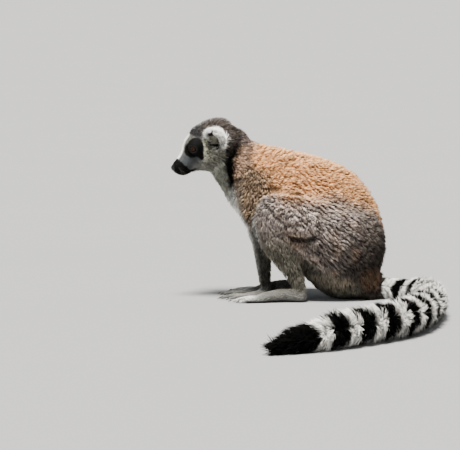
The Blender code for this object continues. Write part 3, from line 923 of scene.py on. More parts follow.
def thigh_colours(points, normals):
    x, _, z = points.T
    wobble = 5 * patchy(points, 9, 6)
    # Painted light and shade: the thigh is lighter towards its top, as if lit from above, and darker low down
    # and towards the rear, where it lies in shadow.
    colour = blend(ramp(z + wobble, 70, 120), np.multiply(THIGH, 0.85), np.multiply(THIGH, 1.45))
    colour = colour * (1 - 0.7 * ramp(z + wobble - 0.9 * (x + 40), 66, -8))[:, None]
    colour = colour * (1 - 0.3 * ramp(x, -88, -108))[:, None]
    saddle = ramp(z + wobble - along_edge(x, SADDLE_EDGE), -18, 8) * ramp(x, -100, -75)
    colour = blend(0.9 * saddle, colour, BACK_PEACH)
    colour = blend(0.75 * ramp(z + 0.3 * x, 34, 14), colour, BUFF)
    colour = blend(0.6 * ramp(-normals[:, 0], 0.5, 0.85), colour, np.multiply(PALE_GREY, 1.35))
    glow = 0.4 * np.exp(-((x + 84) / 22) ** 2 - ((z - 78) / 13) ** 2)
    glow = glow + 0.15 * ramp(patchy(points, 15, 10), 0.0, 0.5)
    colour = blend(glow, colour, np.multiply(BACK_PEACH, 0.62))
    return colour, np.full(len(points), 0.22)


def arm_colours(points, normals):
    z = points[:, 2]
    upper = ramp(z, 84, 112)
    colour = blend(upper, FOREARM, SHOULDER)
    edge = ramp(-normals[:, 0], 0.35, 0.8) * (1 - 0.5 * upper)
    colour = blend(edge, colour, PALE_GREY)
    bib = ramp(-normals[:, 0], 0.55, 0.85) * ramp(z, 62, 74) * ramp(z, 116, 104)
    colour = blend(bib, colour, np.multiply(WHITE, 0.6))
    return blend(ramp(z, 22, 12), colour, PALE_GREY), 0.2 + 0.3 * upper


def leg_colours(points, normals):
    x, _, z = points.T
    colour = blend(ramp(z, 20, 9), blend(ramp(z, 60, 105), SHANK, THIGH), PALE_GREY)
    toes = ramp(x, -112, -132)
    return blend(toes * ramp(z, 14, 6), colour, np.multiply(WHITE, 0.85)), np.full(len(points), 0.12)


def tail_colours(points, normals):
    nearest = nearest_rows(points, tail_rows)
    rows = tail_rows[nearest]
    away = points - rows[:, :3]
    along = nearest * TAIL_LENGTH / TAIL_STEPS + away[:, 0] * rows[:, 3] + away[:, 1] * rows[:, 4]
    along = along + 2.2 * patchy(points, 5, 7)
    phase = np.mod(along - RING_START, RING_PAIR)
    white = ramp(phase, 0, 2.5) * ramp(phase, RING_WHITE + 2.5, RING_WHITE)
    white = white * (along > RING_START) * ramp(along, TAIL_LENGTH - TIP_BLACK, TAIL_LENGTH - TIP_BLACK - 4)
    colour = blend(white, BLACK, WHITE)
    colour = blend(ramp(along, RING_START + 2, RING_START - 6), colour, TAIL_ROOT_GREY)
    return colour, np.full(len(points), 0.04)


def ear_colours(points, normals):
    u, v, out = ear_places(points, normals).T
    inside = ear_hollow(u, v, out) * ramp(u, -1.05, -0.85)
    flap = inside * ear_flap(u, v)
    # Painted shade: the hollow of the cup is painted near black, darker than its bare grey skin.
    colour = blend(inside * ramp(v, 0.0, 0.1), WHITE, EAR_HOLLOW_SHADE)
    colour = blend(flap, colour, np.multiply(CHEEK, 0.8))
    rim = ramp(u, 0.58, 0.72) * ramp(u, 1.02, 0.86) * ramp(v, 0.2, 0.35) * ramp(v, 0.72, 0.55)
    colour = blend(rim * ramp(out, -0.45, 0.0), colour, EAR_RIM)
    return blend(ramp(out, 0.0, 0.4) * ramp(v, 0.1, 0.0), colour, CHEEK), 0.03 + 0.45 * flap


def lid_colours(points, normals):
    return np.tile(BLACK, (len(points), 1)), np.zeros(len(points))


# Each rule takes points and normals, and gives the colours there and the chance that a hair is dark.
COLOURS = {"head": head_colours, "neck": neck_colours, "trunk": trunk_colours, "thigh": thigh_colours,
           "upper_arm": arm_colours, "forearm": arm_colours, "hand": arm_colours, "shank": leg_colours,
           "foot": leg_colours, "tail": tail_colours, "ear": ear_colours, "lid": lid_colours}


def share_of(shares, *regions):
    """How far each point belongs to these regions together."""
    return shares[:, [REGIONS.index(region) for region in regions]].sum(axis=1)


def markings(points, normals, shares):
    """The colour at each point, and the chance that a hair there is dark."""
    colour, speckled = np.zeros((len(points), 3)), np.zeros(len(points))
    for i, region in enumerate(REGIONS):
        here = shares[:, i] > 0.02
        if not here.any():
            continue
        found, chance_dark = COLOURS[region](points[here], normals[here])
        colour[here] += found * shares[here, i][:, None]
        speckled[here] += chance_dark * shares[here, i]
    return colour / shares.sum(axis=1)[:, None], speckled


def store(mesh, name, kind, key, values):
    """Stores a value for each point of a mesh."""
    values = np.asarray(values, np.float32)
    mesh.attributes.new(name, kind, "POINT").data.foreach_set(key, values.ravel())


def paint(mesh, colours):
    store(mesh, "hair_colour", "FLOAT_COLOR", "color", np.hstack([colours, np.ones((len(colours), 1))]))


# The woolly coat parts along wavy creases: across the back they run up and backwards, on the thigh down and
# backwards.  A deeper fold lies on the thigh, another between knee and flank, and a furrow round the knee.
# Skin and hair in the partings, folds and furrow are painted darker as shade, and hair on the swells between
# them is painted lighter.
CREASE_WIDTH = 0.42
CREASE_SPACING = 5.8
KNEE_FURROW_AND_SHADE = 0.8
FLANK_FOLD = [(-114, 130), (-96, 109), (-74, 98)]
THIGH_FOLD = [(-104, 98), (-86, 84), (-66, 79), (-48, 82)]
KNEE_EDGE = [(-128, 84), (-128, 108), (-122, 128), (-108, 141), (-92, 142)]


def creases(points, shares):
    """How far each point lies in a parting of the coat, 0 to 1, and how high it swells between them."""
    x, y, z = points.T
    thigh = share_of(shares, "thigh") > 0.5
    rear = np.where(thigh, 0.5, ramp(x, -80, -20))
    slope = np.where(thigh, -0.62, 1.12 - 0.55 * rear)
    across = z * np.cos(slope) - x * np.sin(slope) + 0.15 * y
    waves = math.pi * across / (CREASE_SPACING - rear)
    waves = waves + (1.2 + 1.4 * rear) * patchy(points, 16, 9) + (0.7 + 1.2 * rear) * patchy(points, 6, 11)
    level = np.abs(np.sin(waves))
    strength = 0.55 + 1.35 * patchy(points, 7.5, 8)
    covered = share_of(shares, "trunk", "thigh", "upper_arm") * ramp(z, 20, 45)
    depth = np.exp(-((level / CREASE_WIDTH) ** 2)) * strength.clip(0.05, 1) * covered
    wobble = 2.6 * patchy(points, 9, 12)
    side_on = points[:, [0, 2]]
    # Towards the rear of the thigh the fold counts for more than a parting, which presses it deeper and paints
    # its shade darker.
    fold = ramp(near_line(side_on, THIGH_FOLD) + wobble, 5.2, 1.2) * (0.5 + 0.65 * ramp(x, -92, -76))
    broken = (0.62 + 0.8 * patchy(points, 8, 13)).clip(0.2, 0.95)
    fold = np.maximum(fold, ramp(near_line(side_on, FLANK_FOLD) + wobble, 4.2, 0.6) * broken) * thigh
    # On the flank beside the knee the coat is pressed into a furrow and painted darker there, as the knee's
    # shade.
    knee = ramp(near_line(side_on, KNEE_EDGE), 7.5, 1) * ~thigh * (np.abs(y) > 26)
    return np.maximum.reduce([depth, fold, KNEE_FURROW_AND_SHADE * knee]), covered * ramp(level, 0.3, 0.9)


NOSE_PAD = (29, 0, -27)
LID_WETNESS = 0.5
# Painted shade on the skin, as shares of its colour:
UNDER_COAT_SHADE = 0.42       # hidden skin is dark between the roots of its hair
BARE_SHADE = 0.48             # added where skin shows
PARTED_SHADE = 0.85


def nose_pad(place):
    """How far a place on the head lies on the wet bare end of the nose, 0 to 1."""
    return ramp(np.linalg.norm(place - NOSE_PAD, axis=1), 7, 5.5)


skin_colours = markings(skin_places + skin_normals * skin_reach[:, None] * 0.7, skin_normals, skin_shares)[0]
head_rows = head_places(skin_places)
bare = nose_pad(head_rows)
for eye in eye_centres.values():
    to_eye = np.linalg.norm(skin_places - np.array(eye), axis=1) - eye_radius
    bare = np.maximum(bare, LID_WETNESS * share_of(skin_shares, "lid") * ramp(to_eye, 2.6, 1.6))
face = share_of(skin_shares, "head") * ramp(head_rows[:, 0], -22, -8) * ramp(head_rows[:, 2], 16, 11)
skin_creases = creases(skin_places, skin_shares)[0]
# Painted shade on the skin: darker where the coat hides it and in the partings, folds and furrow, lighter where
# it shows.
skin_shade = (UNDER_COAT_SHADE + BARE_SHADE * np.maximum(bare, face)) * (1 - PARTED_SHADE * skin_creases)
paint(skin.data, skin_colours * skin_shade[:, None])
store(skin.data, "wet", "FLOAT", "value", bare)

skin_finish = Finish("hide", Roughness=0.62, Specular_IOR_Level=0.1, Coat_Roughness=0.16)
hide_grain = skin_finish.noise(900, 3)
hide_colour = skin_finish.attribute("hair_colour", "Color")
wet = skin_finish.attribute("wet")
skin_finish.put("Base Color", skin_finish.mixed(hide_grain * 0.3, hide_colour, (0.005, 0.0045, 0.004, 1)))
skin_finish.put("Roughness", 0.72 - wet * 0.3 + hide_grain * 0.1)
skin_finish.put("Coat Weight", wet * 0.9)
skin_finish.bump(skin_finish.noise(650, 4) * 0.6 + skin_finish.noise(1500) * 0.4, 0.5, 0.0006)
skin.data.materials.clear()
skin.data.materials.append(skin_finish.material)
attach(skin, "root")
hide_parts(*flesh_nodes)


# ----------------------------------------------------------------------------------------------------
# The coat: closed three-sided locks of hair rooted in the skin, one joined mesh for each part of the body.
# They rise from the root, bend over along the lie of the fur, gather in clumps and leave ridges across it.
FUR_LENGTH = {"trunk": 8, "neck": 7.5, "head": 3.4, "upper_arm": 7.5, "forearm": 5, "hand": 2.4, "thigh": 7.6,
              "shank": 7.5, "foot": 2.8, "tail": 24, "ear": 10, "lid": 0.9}
FUR_WIDTH = {"trunk": 1.15, "neck": 0.8, "head": 0.52, "upper_arm": 0.9, "forearm": 0.65, "hand": 0.45,
             "thigh": 1.05, "shank": 0.8, "foot": 0.5, "tail": 1.05, "ear": 0.75, "lid": 0.35}
HAIR_START = (34, 0, -20)     # on the head, the place that its hair lies away from
SWIRL_X, SWIRL_Z = -110, 30   # the place that the hair of the trunk lies round
TUFTS_PER_CLUMP = 9
CLUMP_NEIGHBOURS = 26
CLUMP_TURN = 0.2
CLUMP_GROWTH, TUFT_GROWTH = 0.10, 0.13
TIP_REACH = 0.95              # how far out the tips come, 1 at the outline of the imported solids
RIDGE_HEIGHT, TIP_SCATTER = 0.07, 0.08
STEEPEST = 0.96
MIDDLE_LIFT, TIP_LIFT = 0.12, 0.24     # of the coat's depth, on the swells between partings
MIDDLE_DROP, TIP_DROP = 0.3, 0.5       # and in the partings
# Painted shade and light along each lock: darker at its root, less so in pale hair, lighter at its tip, and
# darker in a parting.
ROOT_SHADE, MIDDLE_SHADE, TIP_SHADE = 0.55, 0.98, 1.1
ROOT_GLOW = 0.35
PARTING_SHADE = 0.82
DARK_HAIR_SHADE = 0.5
FLOOR_CLEARANCE = 0.4
ROOT_SINK = 0.5
PARTING_STEPS = (0.95, 0.75, 0.55, 0.35, 0.15)    # where along a lock it may meet a parting, tip first
LASH_GAP = 5                  # no hair hangs over the eye within this many mm and degrees of the lids' edge
PATCH_UV = 0.003


def unit(rows):
    return rows / (np.linalg.norm(rows, axis=1)[:, None] + 1e-9)


def lie(points, normals, shares):
    """The way the hair lies: back from the nose, round the back and haunches, and down the limbs."""
    x, y, z = points.T
    zero = np.zeros(len(points))
    swirl = unit(np.stack([z - SWIRL_Z, zero, -(x - SWIRL_X)], axis=1)) + np.array((0.38, 0, -0.33))
    back_from_nose = unit(points - np.array(on_head(*HAIR_START)))
    forward_share = ramp(x, -10, -105)
    thigh_way = np.stack([0.9 - 1.5 * forward_share, 0.25 * np.sign(y), -0.75 - 0.1 * forward_share], axis=1)
    neck_way = np.stack([zero + 0.7, 0.15 * np.sign(y), zero - 0.6], axis=1)
    down = np.stack([zero - 0.12, zero, zero - 1], axis=1)
    along_toes = np.stack([zero - 1, zero, zero - 0.25], axis=1)
    rows = tail_rows[nearest_rows(points, tail_rows)]
    tail_way = np.stack([rows[:, 3], rows[:, 4], zero], axis=1)
    ways = {"head": back_from_nose, "lid": back_from_nose, "neck": neck_way, "trunk": swirl,
            "thigh": thigh_way, "upper_arm": down, "forearm": down, "shank": down + np.array((0.35, 0, 0)),
            "hand": along_toes, "foot": along_toes, "tail": tail_way}
    ear = share_of(shares, "ear") > 0.02
    ways["ear"] = back_from_nose.copy()
    if ear.any():
        u, v, out = ear_places(points[ear], normals[ear]).T
        left = head_places(points[ear])[:, 1] > 0
        frames = {sign: [np.array(w) for w in ear_frame(sign)[1:]] for sign in (1, -1)}
        axis, across, facing = (np.where(left[:, None], frames[1][i], frames[-1][i]) for i in range(3))
        inside = ramp(out, 0.0, 0.35)
        front = ramp(u, -0.35, -0.75)
        rearwards = 0.55 * u + 0.5 * ramp(u, 0.5, 0.9)
        outwards = 0.55 * inside + 0.5 * front - 0.5 * (1 - front) * (1 - inside)
        ways["ear"][ear] = unit(axis * (0.5 + 0.3 * v)[:, None] + across * rearwards[:, None]
                                + facing * outwards[:, None])
    total = sum(shares[:, i][:, None] * unit(ways[region]) for i, region in enumerate(REGIONS))
    total = total - normals * np.sum(total * normals, axis=1)[:, None]
    return unit(total)


def fur_size(points, normals, shares):
    """Length and width of the hair at each point."""
    length = sum(shares[:, i] * FUR_LENGTH[region] for i, region in enumerate(REGIONS))
    width = sum(shares[:, i] * FUR_WIDTH[region] for i, region in enumerate(REGIONS))
    place = head_places(points)
    forward, up = place[:, 0], place[:, 2]
    head = share_of(shares, "head")
    scale = 0.34 + 0.5 * ramp(forward, 12, 2) + 0.45 * ramp(forward, -4, -14) + 0.35 * ramp(forward, -16, -30)
    scale = scale * (1 - 0.45 * ramp(eye_distance(place), 1.5, 0.8))
    scale = scale + 0.5 * ramp(up, 13, 20) * ramp(forward, 12, 4)
    scale = scale * (1 - 0.35 * ramp(normals[:, 2], -0.3, -0.8) * ramp(forward, -14, -6))
    length = length * (1 - head) + length * scale * head
    width = width * (1 - head) + width * (0.55 + 0.45 * scale) * head
    ear = share_of(shares, "ear")
    if (ear > 0.02).any():
        u, v, out = ear_places(points, normals).T
        inside = ramp(out, 0.1, 0.45) * ramp(np.abs(u), 0.95, 0.75)
        length = length * (1 - 0.68 * inside * ear) * (1 - 0.75 * ear * ramp(v, 0.5, 0.9) * ramp(u, 0.9, 0.4))
    row = nearest_rows(points, tail_rows) / TAIL_STEPS
    tail = share_of(shares, "tail")
    length = length * (1 - tail * (0.62 * ramp(row, 0.13, 0.02) + 0.2 * ramp(row, 0.9, 1)))
    return length, width


def bareness(points, normals, shares):
    """Where no tufts grow: the nose, palms and soles, and the hollows of the ears."""
    place = head_places(points)
    sole = ramp(-normals[:, 2], 0.35, 0.6) * ramp(points[:, 2], 7, 4)
    hollow = np.zeros(len(points))
    ear = share_of(shares, "ear") > 0.5
    if ear.any():
        u, v, out = ear_places(points[ear], normals[ear]).T
        hollow[ear] = ear_hollow(u, v, out) * ramp(u, -0.95, -0.7) * ramp(v, 0.0, 0.1) * (1 - ear_flap(u, v))
        hollow[ear] = np.maximum(hollow[ear], ramp(u, 0.55, 0.7) * ramp(np.abs(out), 0.75, 0.55) * (v > 0.25))
    hollow = np.maximum(hollow, ear_well(points) * ~ear)
    return np.maximum.reduce([nose_pad(place), sole, hollow])


skin_length, skin_width = fur_size(skin_places, skin_normals, skin_shares)
skin_cover = (1 - bareness(skin_places, skin_normals, skin_shares)) / (skin_length * skin_width) ** 0.85
skin_cover *= (1 - 0.6 * share_of(skin_shares, "lid")) * (1 - 0.2 * skin_creases)


def clumped(roots, ways, normals, chance):
    """For each tuft its clump's leader, how far the clump stands in a ridge or lies in a crevice, and the
    clump's number, and then how many clumps there are."""
    count = max(1, len(roots) // TUFTS_PER_CLUMP)
    leaders = chance.choice(len(roots), count, replace=False)
    tree = finder(roots[leaders])
    clump = np.array([tree.find(root)[1] for root in roots])
    near = np.array([[found[1] for found in tree.find_n(roots[leader], min(CLUMP_NEIGHBOURS, count))]
                     for leader in leaders])
    offset = roots[leaders][near] - roots[leaders][:, None]
    pitch = np.linalg.norm(offset, axis=2)[:, 1:5].mean() + 1e-6
    along = np.einsum("ijk,ik->ij", offset, ways[leaders])
    across = np.einsum("ijk,ik->ij", offset, np.cross(normals[leaders], ways[leaders]))
    weight = np.exp(-((along / (0.75 * pitch)) ** 2) - (across / (2.6 * pitch)) ** 2)
    drawn = chance.standard_normal(count)
    ridge = (weight * drawn[near]).sum(axis=1) / np.sqrt((weight ** 2).sum(axis=1))
    return leaders[clump], ridge[clump], clump, count


def turned(ways, normals, angle):
    """ways turned round the normals."""
    return ways * np.cos(angle)[:, None] + np.cross(normals, ways) * np.sin(angle)[:, None]


def leaning(ways, normals, rise):
    """Ways that leave the skin with this rise, 0 flat and 1 upright."""
    return ways * np.sqrt(1 - rise ** 2)[:, None] + normals * rise[:, None]


def along_bend(bend, share):
    """The place at a share of the way along a lock's curve from root over middle to tip."""
    root, middle, tip = bend
    return (1 - share) ** 2 * root + 2 * share * (1 - share) * middle + share ** 2 * tip


LOCK_SECTION = [(-0.5, -0.2), (0.5, -0.2), (0, 0.42)]     # its corners across and over, in widths


def tuft_mesh(name, bend, sides, risers, width, rings, colours, parted, layout):
    """One mesh of every lock along its bend, with its colours and its patch of the skin's layout."""
    count = len(width)
    bright = ROOT_GLOW * colours.mean(axis=1)
    columns, hues, patch = [], [], []
    for ring in range(rings):
        share = ring / rings
        centre = along_bend(bend, share)
        thick = width * (0.8 if share == 0 else 1.0 - 0.45 * share)
        for across, over in LOCK_SECTION:
            columns.append(centre + sides * (across * thick)[:, None] + risers * (over * thick)[:, None])
            patch.append((across, share))
        # Painted shade: darker towards the root, less so in pale hair, and darker where the lock crosses a
        # parting; the tip is painted lighter.
        shade = np.interp(share, [0, 0.5, 1], [ROOT_SHADE, MIDDLE_SHADE, TIP_SHADE])
        shade = (shade + bright * (1 - share)) * (1 - PARTING_SHADE * parted[0] * min(1, 2 * share))
        hues += [colours * shade[:, None]] * 3
    columns.append(bend[2])
    patch.append((0, 1))
    hues.append(colours * (TIP_SHADE * (1 - PARTING_SHADE * parted[1]))[:, None])
    per = len(columns)
    points = np.stack(columns, axis=1).reshape(-1, 3)
    points[:, 2] = np.maximum(points[:, 2], FLOOR_CLEARANCE)
    hues = np.stack(hues, axis=1).reshape(-1, 3)
    faces = [(0, 2, 1)]
    for i in range(rings - 1):
        a, b = 3 * i, 3 * i + 3
        for j in range(3):
            k = (j + 1) % 3
            faces += [(a + j, a + k, b + k), (a + j, b + k, b + j)]
    last = 3 * (rings - 1)
    faces += [(last + j, last + (j + 1) % 3, per - 1) for j in range(3)]
    triangles = (np.array(faces)[None] + per * np.arange(count)[:, None, None]).reshape(-1, 3)
    mesh = bpy.data.meshes.new(name)
    mesh.vertices.add(len(points))
    mesh.vertices.foreach_set("co", (points * MM).ravel())
    mesh.loops.add(triangles.size)
    mesh.loops.foreach_set("vertex_index", triangles.ravel().astype(np.int32))
    mesh.polygons.add(len(triangles))
    mesh.polygons.foreach_set("loop_start", np.arange(len(triangles), dtype=np.int32) * 3)
    mesh.update(calc_edges=True)
    mesh.shade_smooth()
    paint(mesh, hues / np.maximum(hues.max(axis=1), 1)[:, None])
    spots = (layout[:, None] + np.array(patch)[None] * PATCH_UV).reshape(-1, 2)
    mesh.uv_layers.new(name="OFBake").uv.foreach_set("vector", spots[triangles.ravel()].ravel())
    return mesh


def fur_material(name):
    """Dull soft hair in the colours of the coat, each strand a little different along its length."""
    finish = Finish(name, Roughness=0.85, Specular_IOR_Level=0.05)
    colour = finish.attribute("hair_colour", "Color")
    strand = finish.noise(420, 2)
    finish.put("Base Color", finish.mixed(strand * 0.3, colour, (0.45, 0.42, 0.4, 1), "MULTIPLY"))
    finish.put("Roughness", 0.78 + strand * 0.2)
    finish.bump(finish.noise(1400, 2), 0.35, 0.0004)
    return finish.material


def grow_coat(name, chosen, count, seed, rings=2, ridged=1.0, stray=0.16, gather=0.45, mottle=0.07):
    """Plants, combs and colours count tufts on the chosen triangles of the skin.  ridged is the height of
    their ridges, and a woolly coat at 1 has partings too.  stray, gather and mottle are how much the tufts
    turn aside, lean to their clump's leader and differ in brightness."""
    chance = np.random.default_rng(seed)
    triangles = skin_corners[chosen]
    cover = skin_cover[triangles].mean(axis=1)
    pick, weights = scattered(doubled_areas(skin_places[triangles]) * cover, count, chance)

    def there(values):
        return np.einsum("ij,ij...->i...", weights, values[triangles[pick]])

    roots, normals = there(skin_places), unit(there(skin_normals))
    shares, reach = there(skin_shares), there(skin_reach)
    layout = np.einsum("ij,ijk->ik", weights, skin_layout[chosen][pick])
    ways = lie(roots, normals, shares)
    length, width = fur_size(roots, normals, shares)
    leader, ridge, clump, clumps = clumped(roots, ways, normals, chance)
    ridge = np.clip(ridge * ridged, -1.8, 1.6)
    bright = 1 + mottle * chance.standard_normal(clumps)[clump] + 0.8 * mottle * chance.standard_normal(count)
    bright = bright.clip(0.45, 1.5)
    yaw = CLUMP_TURN * chance.standard_normal(clumps)[clump] + stray * chance.standard_normal(count)
    growth = 1 + CLUMP_GROWTH * chance.standard_normal(clumps)[clump]
    growth = growth + TUFT_GROWTH * chance.standard_normal(count)
    long = length * growth.clip(0.55, 1.4)
    height = reach * (TIP_REACH + RIDGE_HEIGHT * ridge + TIP_SCATTER * chance.standard_normal(count))
    rise = np.clip(height / long, 0.06, 0.82)
    ways = turned(ways, normals, yaw)
    steep, flat = np.clip(1.45 * rise, 0, STEEPEST), np.maximum(0.55 * rise, 2 * rise - STEEPEST)
    middle = roots + leaning(ways, normals, steep) * (long * 0.5)[:, None]
    tip = middle + leaning(ways, normals, flat) * (long * 0.5)[:, None]
    tip = tip + gather * (tip[leader] - tip) * np.clip(long / 10, 0.3, 1)[:, None]
    middle = middle + 0.3 * gather * (middle[leader] - middle)
    parted = [np.zeros(count), np.zeros(count)]
    if ridged == 1.0:
        left = np.ones(count)
        for share in PARTING_STEPS:
            crossed = np.clip(2.0 * creases(along_bend((roots, middle, tip), share), shares)[0] - 0.5, 0, 1)
            left = left * (1 - crossed) + max(0.4, share - 0.1) * crossed
        left = left[:, None]
        tip = along_bend((roots, middle, tip), left)
        middle = roots + left * (middle - roots)
        at_middle, at_tip = creases(middle, shares), creases(tip, shares)
        tip = tip + normals * ((TIP_LIFT * at_tip[1] - TIP_DROP * at_tip[0]) * reach)[:, None]
        middle = middle + normals * (
            (MIDDLE_LIFT * at_middle[1] - MIDDLE_DROP * at_middle[0]) * reach)[:, None]
        # Painted shade in the partings, and painted light on the swells between them.
        parted = [at_middle[0] - 0.1 * at_middle[1], at_tip[0] - 0.12 * at_tip[1]]
    seen = 0.35 * roots + 0.65 * (middle + tip) / 2
    colours, speckled = markings(seen, normals, shares)
    dark = chance.random(count) < speckled
    # Painted light and shade: clumps that stand higher on a ridge are lighter, those in a crevice darker.
    shade = bright * np.clip(1 + 1.2 * mottle * ridge, 0.5, 1.4)
    shade = shade * np.where(dark, DARK_HAIR_SHADE, 1.0 + 0.3 * speckled)
    keep = np.ones(count, bool)
    for side, sign in EYE_SIDES.items():
        look = np.array(eye_frame(sign)[0])
        for end in (tip, middle):
            away = end - np.array(eye_centres[side])
            near = np.linalg.norm(away, axis=1)
            over_eye = unit(away) @ look > math.cos(math.radians(LID_OPENING - LASH_GAP))
            keep &= ~((near < eye_radius + LASH_GAP) & over_eye)
    bend = (roots - normals * ROOT_SINK, middle, tip)
    mesh = tuft_mesh(name, [part[keep] for part in bend], np.cross(normals, ways)[keep], normals[keep],
                     (width * (0.75 + 0.5 * chance.random(count)))[keep], rings,
                     (colours * shade[:, None])[keep], [part[keep] for part in parted], layout[keep])
    coat = linked(name, mesh)
    mesh.materials.append(fur_material(name))
    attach(coat, "root")
    return coat


triangle_region = np.array(REGIONS)[skin_shares[skin_corners].mean(axis=1).argmax(axis=1)]
triangle_middle = skin_places[skin_corners].mean(axis=1)


def parts(*regions):
    return np.isin(triangle_region, regions)


left_side = triangle_middle[:, 1] < 0
sides = ("left", left_side), ("right", ~left_side)
for seed, (side, here) in enumerate(sides, 11):
    grow_coat(f"coat_trunk_{side}", parts("trunk") & here, 17500, seed,
              stray=0.12, gather=0.35, mottle=0.14)
for seed, (side, here) in enumerate(sides, 13):
    grow_coat(f"coat_thigh_{side}", parts("thigh") & here, 10500, seed, mottle=0.2)
grow_coat("coat_neck", parts("neck"), 10500, 15, mottle=0.16)
grow_coat("coat_head", parts("head", "lid"), 19500, 16,
          ridged=0.6, stray=0.22, gather=0.3, mottle=0.1)
grow_coat("coat_ears", parts("ear"), 7500, 17, ridged=0.4, stray=0.18, gather=0.15)
grow_coat("coat_arms", parts("upper_arm", "forearm"), 11000, 18, ridged=0.7, mottle=0.12)
grow_coat("coat_shanks", parts("shank"), 6500, 19, ridged=0.6, mottle=0.14)
grow_coat("coat_hands_feet", parts("hand", "foot"), 8500, 20, ridged=0.3)
root_half = nearest_rows(triangle_middle, tail_rows) < 0.5 * TAIL_STEPS
for end, here, seed in (("root", root_half, 21), ("tip", ~root_half, 22)):
    grow_coat(f"coat_tail_{end}", parts("tail") & here, 10000, seed,
              rings=3, ridged=0.5, stray=0.22)


# ----------------------------------------------------------------------------------------------------
# The eyes: glass domes with a clear bulge in front, an amber iris streaked outwards, a round black pupil and
# a dark ring round the iris, set in the lids as deep as the living eye.
EYE_TURNS = 72
EYE_RINGS = 60
CORNEA_RISE = 0.8
PUPIL_ANGLE = 10
IRIS_ANGLE = 26
# Painted shade: the iris's amber and its edge are darkened, as they look in the shade of the brow.
AMBER = (0.064, 0.018, 0.0032)
AMBER_EDGE = (0.024, 0.0064, 0.0016)
EYE_DARK = (0.0012, 0.001, 0.001)
FIBRE_TINT = (0.25, 0.16, 0.1, 1)


def eyeball(side, sign):
    look, up, out = eye_frame(sign)
    middle = eye_centres[side]
    shape = bmesh.new()
    rings = []
    for i in range(EYE_RINGS + 1):
        angle = math.pi * i / EYE_RINGS
        radius = eye_radius + CORNEA_RISE * float(ramp(np.array(math.degrees(angle)), 46, 8))
        ring = []
        for k in range(1 if i in (0, EYE_RINGS) else EYE_TURNS):
            turn = 2 * math.pi * k / EYE_TURNS
            way = look * math.cos(angle) + (out * math.cos(turn) + up * math.sin(turn)) * math.sin(angle)
            ring.append(shape.verts.new((middle + way * radius) * MM))
        rings.append(ring)
    for near, far in zip(rings, rings[1:]):
        bridged(shape, near, far)
    bmesh.ops.recalc_face_normals(shape, faces=shape.faces)
    mesh = mesh_of(shape, f"eyeball_{side}")
    mesh.shade_smooth()
    away = mesh_points(mesh) - np.array(middle)
    angle = np.degrees(np.arccos(np.clip(unit(away) @ np.array(look), -1, 1)))
    turn = np.arctan2(away @ np.array(up), away @ np.array(out))
    streak = 0.5 + 0.5 * np.sin(turn * 31 + 2 * np.sin(turn * 7))
    iris = blend(ramp(angle, PUPIL_ANGLE + 3, IRIS_ANGLE), AMBER, AMBER_EDGE)
    iris = iris * (0.78 + 0.22 * streak)[:, None]
    colour = blend(ramp(angle, PUPIL_ANGLE + 1.5, PUPIL_ANGLE), iris, EYE_DARK)
    colour = blend(ramp(angle, IRIS_ANGLE - 2, IRIS_ANGLE + 2), colour, EYE_DARK)
    paint(mesh, colour)
    return linked(f"eyeball_{side}", mesh)


eye_finish = Finish("glass_eye", Roughness=0.12, Coat_Weight=0.14, Coat_Roughness=0.02,
                    Specular_IOR_Level=0.05)
fibres = eye_finish.noise(2600, 3)
eye_hue = eye_finish.attribute("hair_colour", "Color")
eye_finish.put("Base Color", eye_finish.mixed(fibres * 0.5, eye_hue, FIBRE_TINT, "MULTIPLY"))
eye_finish.put("Roughness", 0.06 + fibres * 0.1)
for side, sign in EYE_SIDES.items():
    ball = eyeball(side, sign)
    ball.data.materials.append(eye_finish.material)
    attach(ball, "root")
    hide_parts(f"eye_{side}")


# ----------------------------------------------------------------------------------------------------
# The nails: small black keeled nails, one on each finger and toe, grown out of the skin over the last joint
# and curved down towards the floor.  One tree sets a nail at every digit's end and turns it along the digit.
NAIL_LENGTH = 4.6
NAIL_WIDTH = 2.6
NAIL_HEIGHT = 1.9
NAIL_BOW = 60.0               # how strongly it curves, per metre of its length
NAIL_DROP = -0.22
HORN_TONES = (0.010, 0.009, 0.008, 1), (0.05, 0.042, 0.036, 1)
# Each digit's root x, root distance from the midline, length, bearing outwards in degrees and radius.
TOES = [(-99, 41, 25, -38, 4.6), (-115, 43.5, 23, -10, 3.4), (-118, 48.5, 28, -3, 3.4),
        (-119, 54, 33, 5, 3.4), (-116, 59.5, 27, 15, 3.3)]
FINGERS = [(-120, 14.5, 16, -42, 3.3), (-134, 13, 22, -18, 3.0), (-136, 18, 27, -7, 3.0),
           (-136, 23.5, 30, 4, 3.0), (-133, 28, 23, 18, 3.0)]


